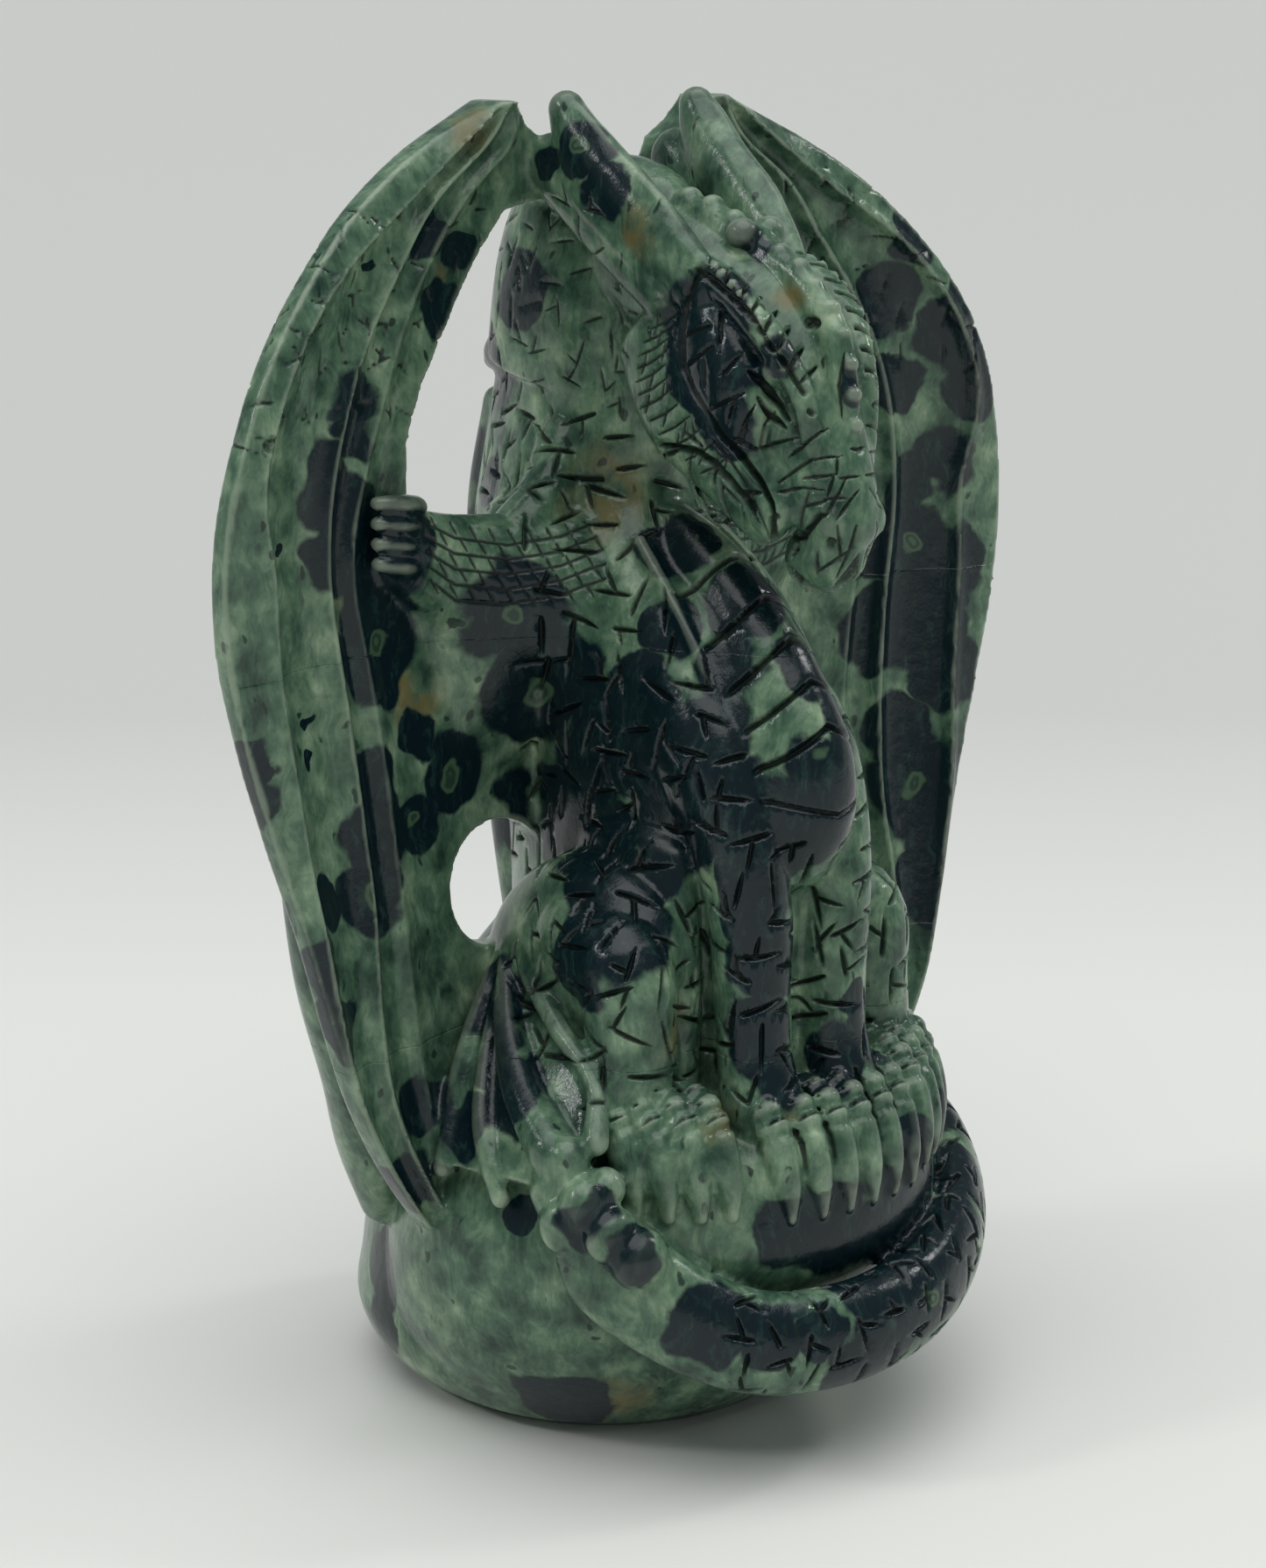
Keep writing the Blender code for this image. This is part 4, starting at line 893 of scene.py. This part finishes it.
def nearest(at, spheres):
    """How far a place lies from the nearest of some spheres, as a share of its radius."""
    found = None
    for x, y, z, radius in spheres:
        gap = node("VectorMath", {0: at, 1: (x, y, z)}, operation="DISTANCE").outputs["Value"]
        share = sums("MULTIPLY", gap, 1.0 / radius)
        found = share if found is None else sums("MINIMUM", found, share)
    return found


place = node("TexCoord", {}).outputs["Object"]
place = node("VectorMath", {0: place, "Scale": 1.0 / MM}, operation="SCALE").outputs["Vector"]
X_part, Y_part, Z_part = node("SeparateXYZ", {0: place}).outputs


def cloud(scale, detail, at=place, rough=0.55):
    """Soft noise of a number of features per millimetre."""
    return node("TexNoise", {"Vector": at, "Scale": scale, "Detail": detail, "Roughness": rough})


swayed = place
for scale, detail, reach in ((0.16, 1.5, 6.0), (0.7, 3.0, 1.0)):
    sway = node("VectorMath", {0: cloud(scale, detail).outputs["Color"], 1: (0.5, 0.5, 0.5)},
                operation="SUBTRACT").outputs["Vector"]
    swayed = node("VectorMath", {0: sway, 1: (reach, reach, reach), 2: swayed},
                  operation="MULTIPLY_ADD").outputs[0]
flow = node("VectorMath", {0: swayed, 1: (1.0, 1.0, 0.16)}, operation="MULTIPLY").outputs[0]

mottle = cloud(0.24, 6.0, rough=0.52).outputs["Fac"]
drift = cloud(0.09, 2.0).outputs["Fac"]
streak = cloud(1.1, 5.0, flow, 0.6).outputs["Fac"]
tone = sums("MULTIPLY_ADD", streak, 0.26, sums("MULTIPLY", drift, 0.36))
tone = sums("MULTIPLY_ADD", mottle, 0.58, tone)
ground = node("ValToRGB", {"Fac": tone})
ramp = ground.color_ramp
ramp.elements[0].position, ramp.elements[0].color = 0.42, (0.013, 0.034, 0.026, 1)
ramp.elements[1].position, ramp.elements[1].color = 0.80, (0.330, 0.430, 0.285, 1)
for at, colour in ((0.51, (0.034, 0.076, 0.050, 1)), (0.60, (0.078, 0.150, 0.094, 1)),
                   (0.69, (0.160, 0.255, 0.160, 1))):
    ramp.elements.new(at).color = colour
ground = ground.outputs["Color"]

stain = sums("MULTIPLY", rising(nearest(swayed, STAINS), 1.25, 0.35), rising(mottle, 0.36, 0.60))
ground = blended(sums("MULTIPLY", stain, 0.75), ground, OCHRE)

# Unseen sides carry orbs of the same size, scattered by a cell pattern
CELL = 17.0
cells = node("TexVoronoi", {"Vector": swayed, "Scale": 1 / CELL})
chance = node("SeparateColor", {0: cells.outputs["Color"]}).outputs[0]
cell_share = sums("DIVIDE", sums("MULTIPLY", cells.outputs["Distance"], CELL),
                  sums("MULTIPLY_ADD", chance, 5.0, 2.2))
behind = sums("MAXIMUM", rising(Y_part, 3.5, 6.5),
              sums("MULTIPLY", rising(X_part, 14, 20), rising(Z_part, 62, 54)))
cell_share = sums("ADD", cell_share, sums("MULTIPLY", sums("SUBTRACT", 1.0, behind), 4.0))
orb_share = sums("MINIMUM", nearest(swayed, ORBS), cell_share)
orb = rising(orb_share, 1.27, 1.09)
eye_share = sums("MINIMUM", nearest(swayed, EYES),
                 sums("MULTIPLY", cell_share, sums("MULTIPLY_ADD", chance, -3.0, 5.5)))
eye = rising(eye_share, 1.12, 0.85)
ring = sums("MULTIPLY", rising(eye_share, 0.25, 0.45), rising(eye_share, 0.75, 0.55))
depths = blended(rising(cloud(0.8, 5.0, flow, 0.7).outputs["Fac"], 0.50, 0.72),
                 ORB_DARK, ORB_PALE)
eye_green = blended(sums("MULTIPLY", ring, 0.75), EYE_GREEN, EYE_RIM)
skin = blended(orb, ground, depths)
skin = blended(sums("MULTIPLY", eye, 0.9), skin, eye_green)

# Specks of dark mineral, drawn out along the bedding
flecks = node("TexVoronoi", {"Vector": node("VectorMath", {0: swayed, 1: (1.0, 1.0, 0.45)},
                                            operation="MULTIPLY").outputs[0], "Scale": 0.55})
fleck_luck = node("SeparateColor", {0: flecks.outputs["Color"]}).outputs[0]
fleck = sums("MULTIPLY", rising(flecks.outputs["Distance"], 0.27, 0.17), rising(fleck_luck, 0.70, 0.86))
skin = blended(sums("MULTIPLY", fleck, 0.85), skin, SPECK)

# The bottoms of the cuts are painted dark: painted shade in the cuts, with some wax and dust
cuts = node("Attribute", {}, attribute_name="cut_depth").outputs["Fac"]
skin = blended(sums("MULTIPLY", rising(cuts, 0.05, 0.75), 0.85), skin, WAX_AND_SHADE)
# Crests are painted pale: a painted highlight, with painted light coming through their thin edges
crests = node("Attribute", {}, attribute_name="crest").outputs["Fac"]
skin = blended(sums("MULTIPLY", rising(crests, 0.06, 0.22), 0.50), skin, CREST_HIGHLIGHT)
links.new(skin, shader.inputs["Base Color"])
polish = sums("MULTIPLY_ADD", mottle, 0.14, 0.12)
links.new(sums("MULTIPLY_ADD", cuts, 0.35, polish), shader.inputs["Roughness"])

hairlines = cloud(2.6, 3.0, node("VectorMath", {0: swayed, 1: (1.6, 1.6, 0.22)},
                                 operation="MULTIPLY").outputs[0]).outputs["Fac"]
relief = sums("MULTIPLY_ADD", cloud(0.5, 3.0).outputs["Fac"], 0.20, sums("MULTIPLY", hairlines, 0.05))
bump = node("Bump", {"Height": relief, "Strength": 0.55, "Distance": 0.0008})
links.new(bump.outputs["Normal"], shader.inputs["Normal"])
for piece in carvings:
    piece.data.materials.clear()
    piece.data.materials.append(stone)
    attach(piece, "root")
    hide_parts("dragon_carving")


# Floor, light and camera
# A pale paper table, painted darker towards the back as painted shade, curves up behind under a wide
# overcast sky and two small windows. The camera stands where the photograph was taken from.
floor_clay = bmesh.new()
profile = [(-8.0, 0.0), (0.45, 0.0), (0.7, 0.02), (1.0, 0.09), (1.5, 0.32), (2.4, 0.90)]
rows = [[floor_clay.verts.new((x, y, z)) for y, z in profile] for x in (-8.0, 8.0)]
for i in range(len(profile) - 1):
    floor_clay.faces.new((rows[0][i], rows[1][i], rows[1][i + 1], rows[0][i + 1]))
turn_floor = Matrix.Rotation(math.radians(-40), 4, "Z")
bmesh.ops.transform(floor_clay, matrix=turn_floor, verts=floor_clay.verts)
floor = solid("floor", floor_clay)
floor.data.shade_smooth()
paper = bpy.data.materials.new("pale_paper")
paper.use_nodes = True
nodes, links = paper.node_tree.nodes, paper.node_tree.links
# The paper's colour is painted lighter in front and darker further back: painted shade of how the light
# falls on the table
distance = node("VectorMath", {0: node("TexCoord", {}).outputs["Object"], 1: (0.643, 0.766, 0.0)},
                operation="DOT_PRODUCT").outputs["Value"]
fade = node("ValToRGB", {"Fac": sums("MULTIPLY_ADD", distance, 0.5, 0.2)})
fade.color_ramp.elements[0].position, fade.color_ramp.elements[0].color = 0.16, (0.780, 0.785, 0.750, 1)
fade.color_ramp.elements[1].position, fade.color_ramp.elements[1].color = 0.80, (0.610, 0.618, 0.592, 1)
for at, colour in ((0.27, (0.730, 0.737, 0.705, 1)), (0.38, (0.575, 0.585, 0.562, 1))):
    fade.color_ramp.elements.new(at).color = colour
links.new(fade.outputs["Color"], nodes["Principled BSDF"].inputs["Base Color"])
paper.node_tree.nodes["Principled BSDF"].inputs["Roughness"].default_value = 0.9
floor.data.materials.append(paper)

world = bpy.data.worlds.new("room")
scene.world = world
world.use_nodes = True
world.node_tree.nodes["Background"].inputs["Color"].default_value = (0.90, 0.96, 1.0, 1)
world.node_tree.nodes["Background"].inputs["Strength"].default_value = 0.22

sky = bpy.data.lights.new("sky", "SUN")
sky.energy, sky.angle = 2.2, math.radians(70)
overhead = bpy.data.objects.new("sky", sky)
overhead.rotation_euler = Vector((0.10, 0.16, -1.0)).to_track_quat("-Z", "Y").to_euler()
scene.collection.objects.link(overhead)


def window(name, at, size, power):
    """A square light aimed at the middle of the carving."""
    lamp = bpy.data.lights.new(name, "AREA")
    lamp.shape, lamp.size, lamp.energy = "SQUARE", size, power
    thing = bpy.data.objects.new(name, lamp)
    thing.location = at
    thing.rotation_euler = (Vector((0, 0, 0.08)) - Vector(at)).to_track_quat("-Z", "Y").to_euler()
    scene.collection.objects.link(thing)


window("left_window", (-0.9, 0.35, 0.75), 0.16, 1.8)
window("right_window", (0.75, -0.35, 0.7), 0.14, 1.2)
scene.view_settings.view_transform = "Standard"

SENSOR = 36.0
lens = bpy.data.cameras.new("photo_view")
lens.sensor_fit, lens.sensor_height, lens.sensor_width = "VERTICAL", SENSOR, SENSOR
lens.lens = PHOTO_FOCUS / PHOTO_TALL * SENSOR
camera = bpy.data.objects.new("photo_view", lens)
camera.location = view_from
camera.rotation_euler = look.to_track_quat("-Z", "Y").to_euler()
scene.collection.objects.link(camera)
scene.camera = camera
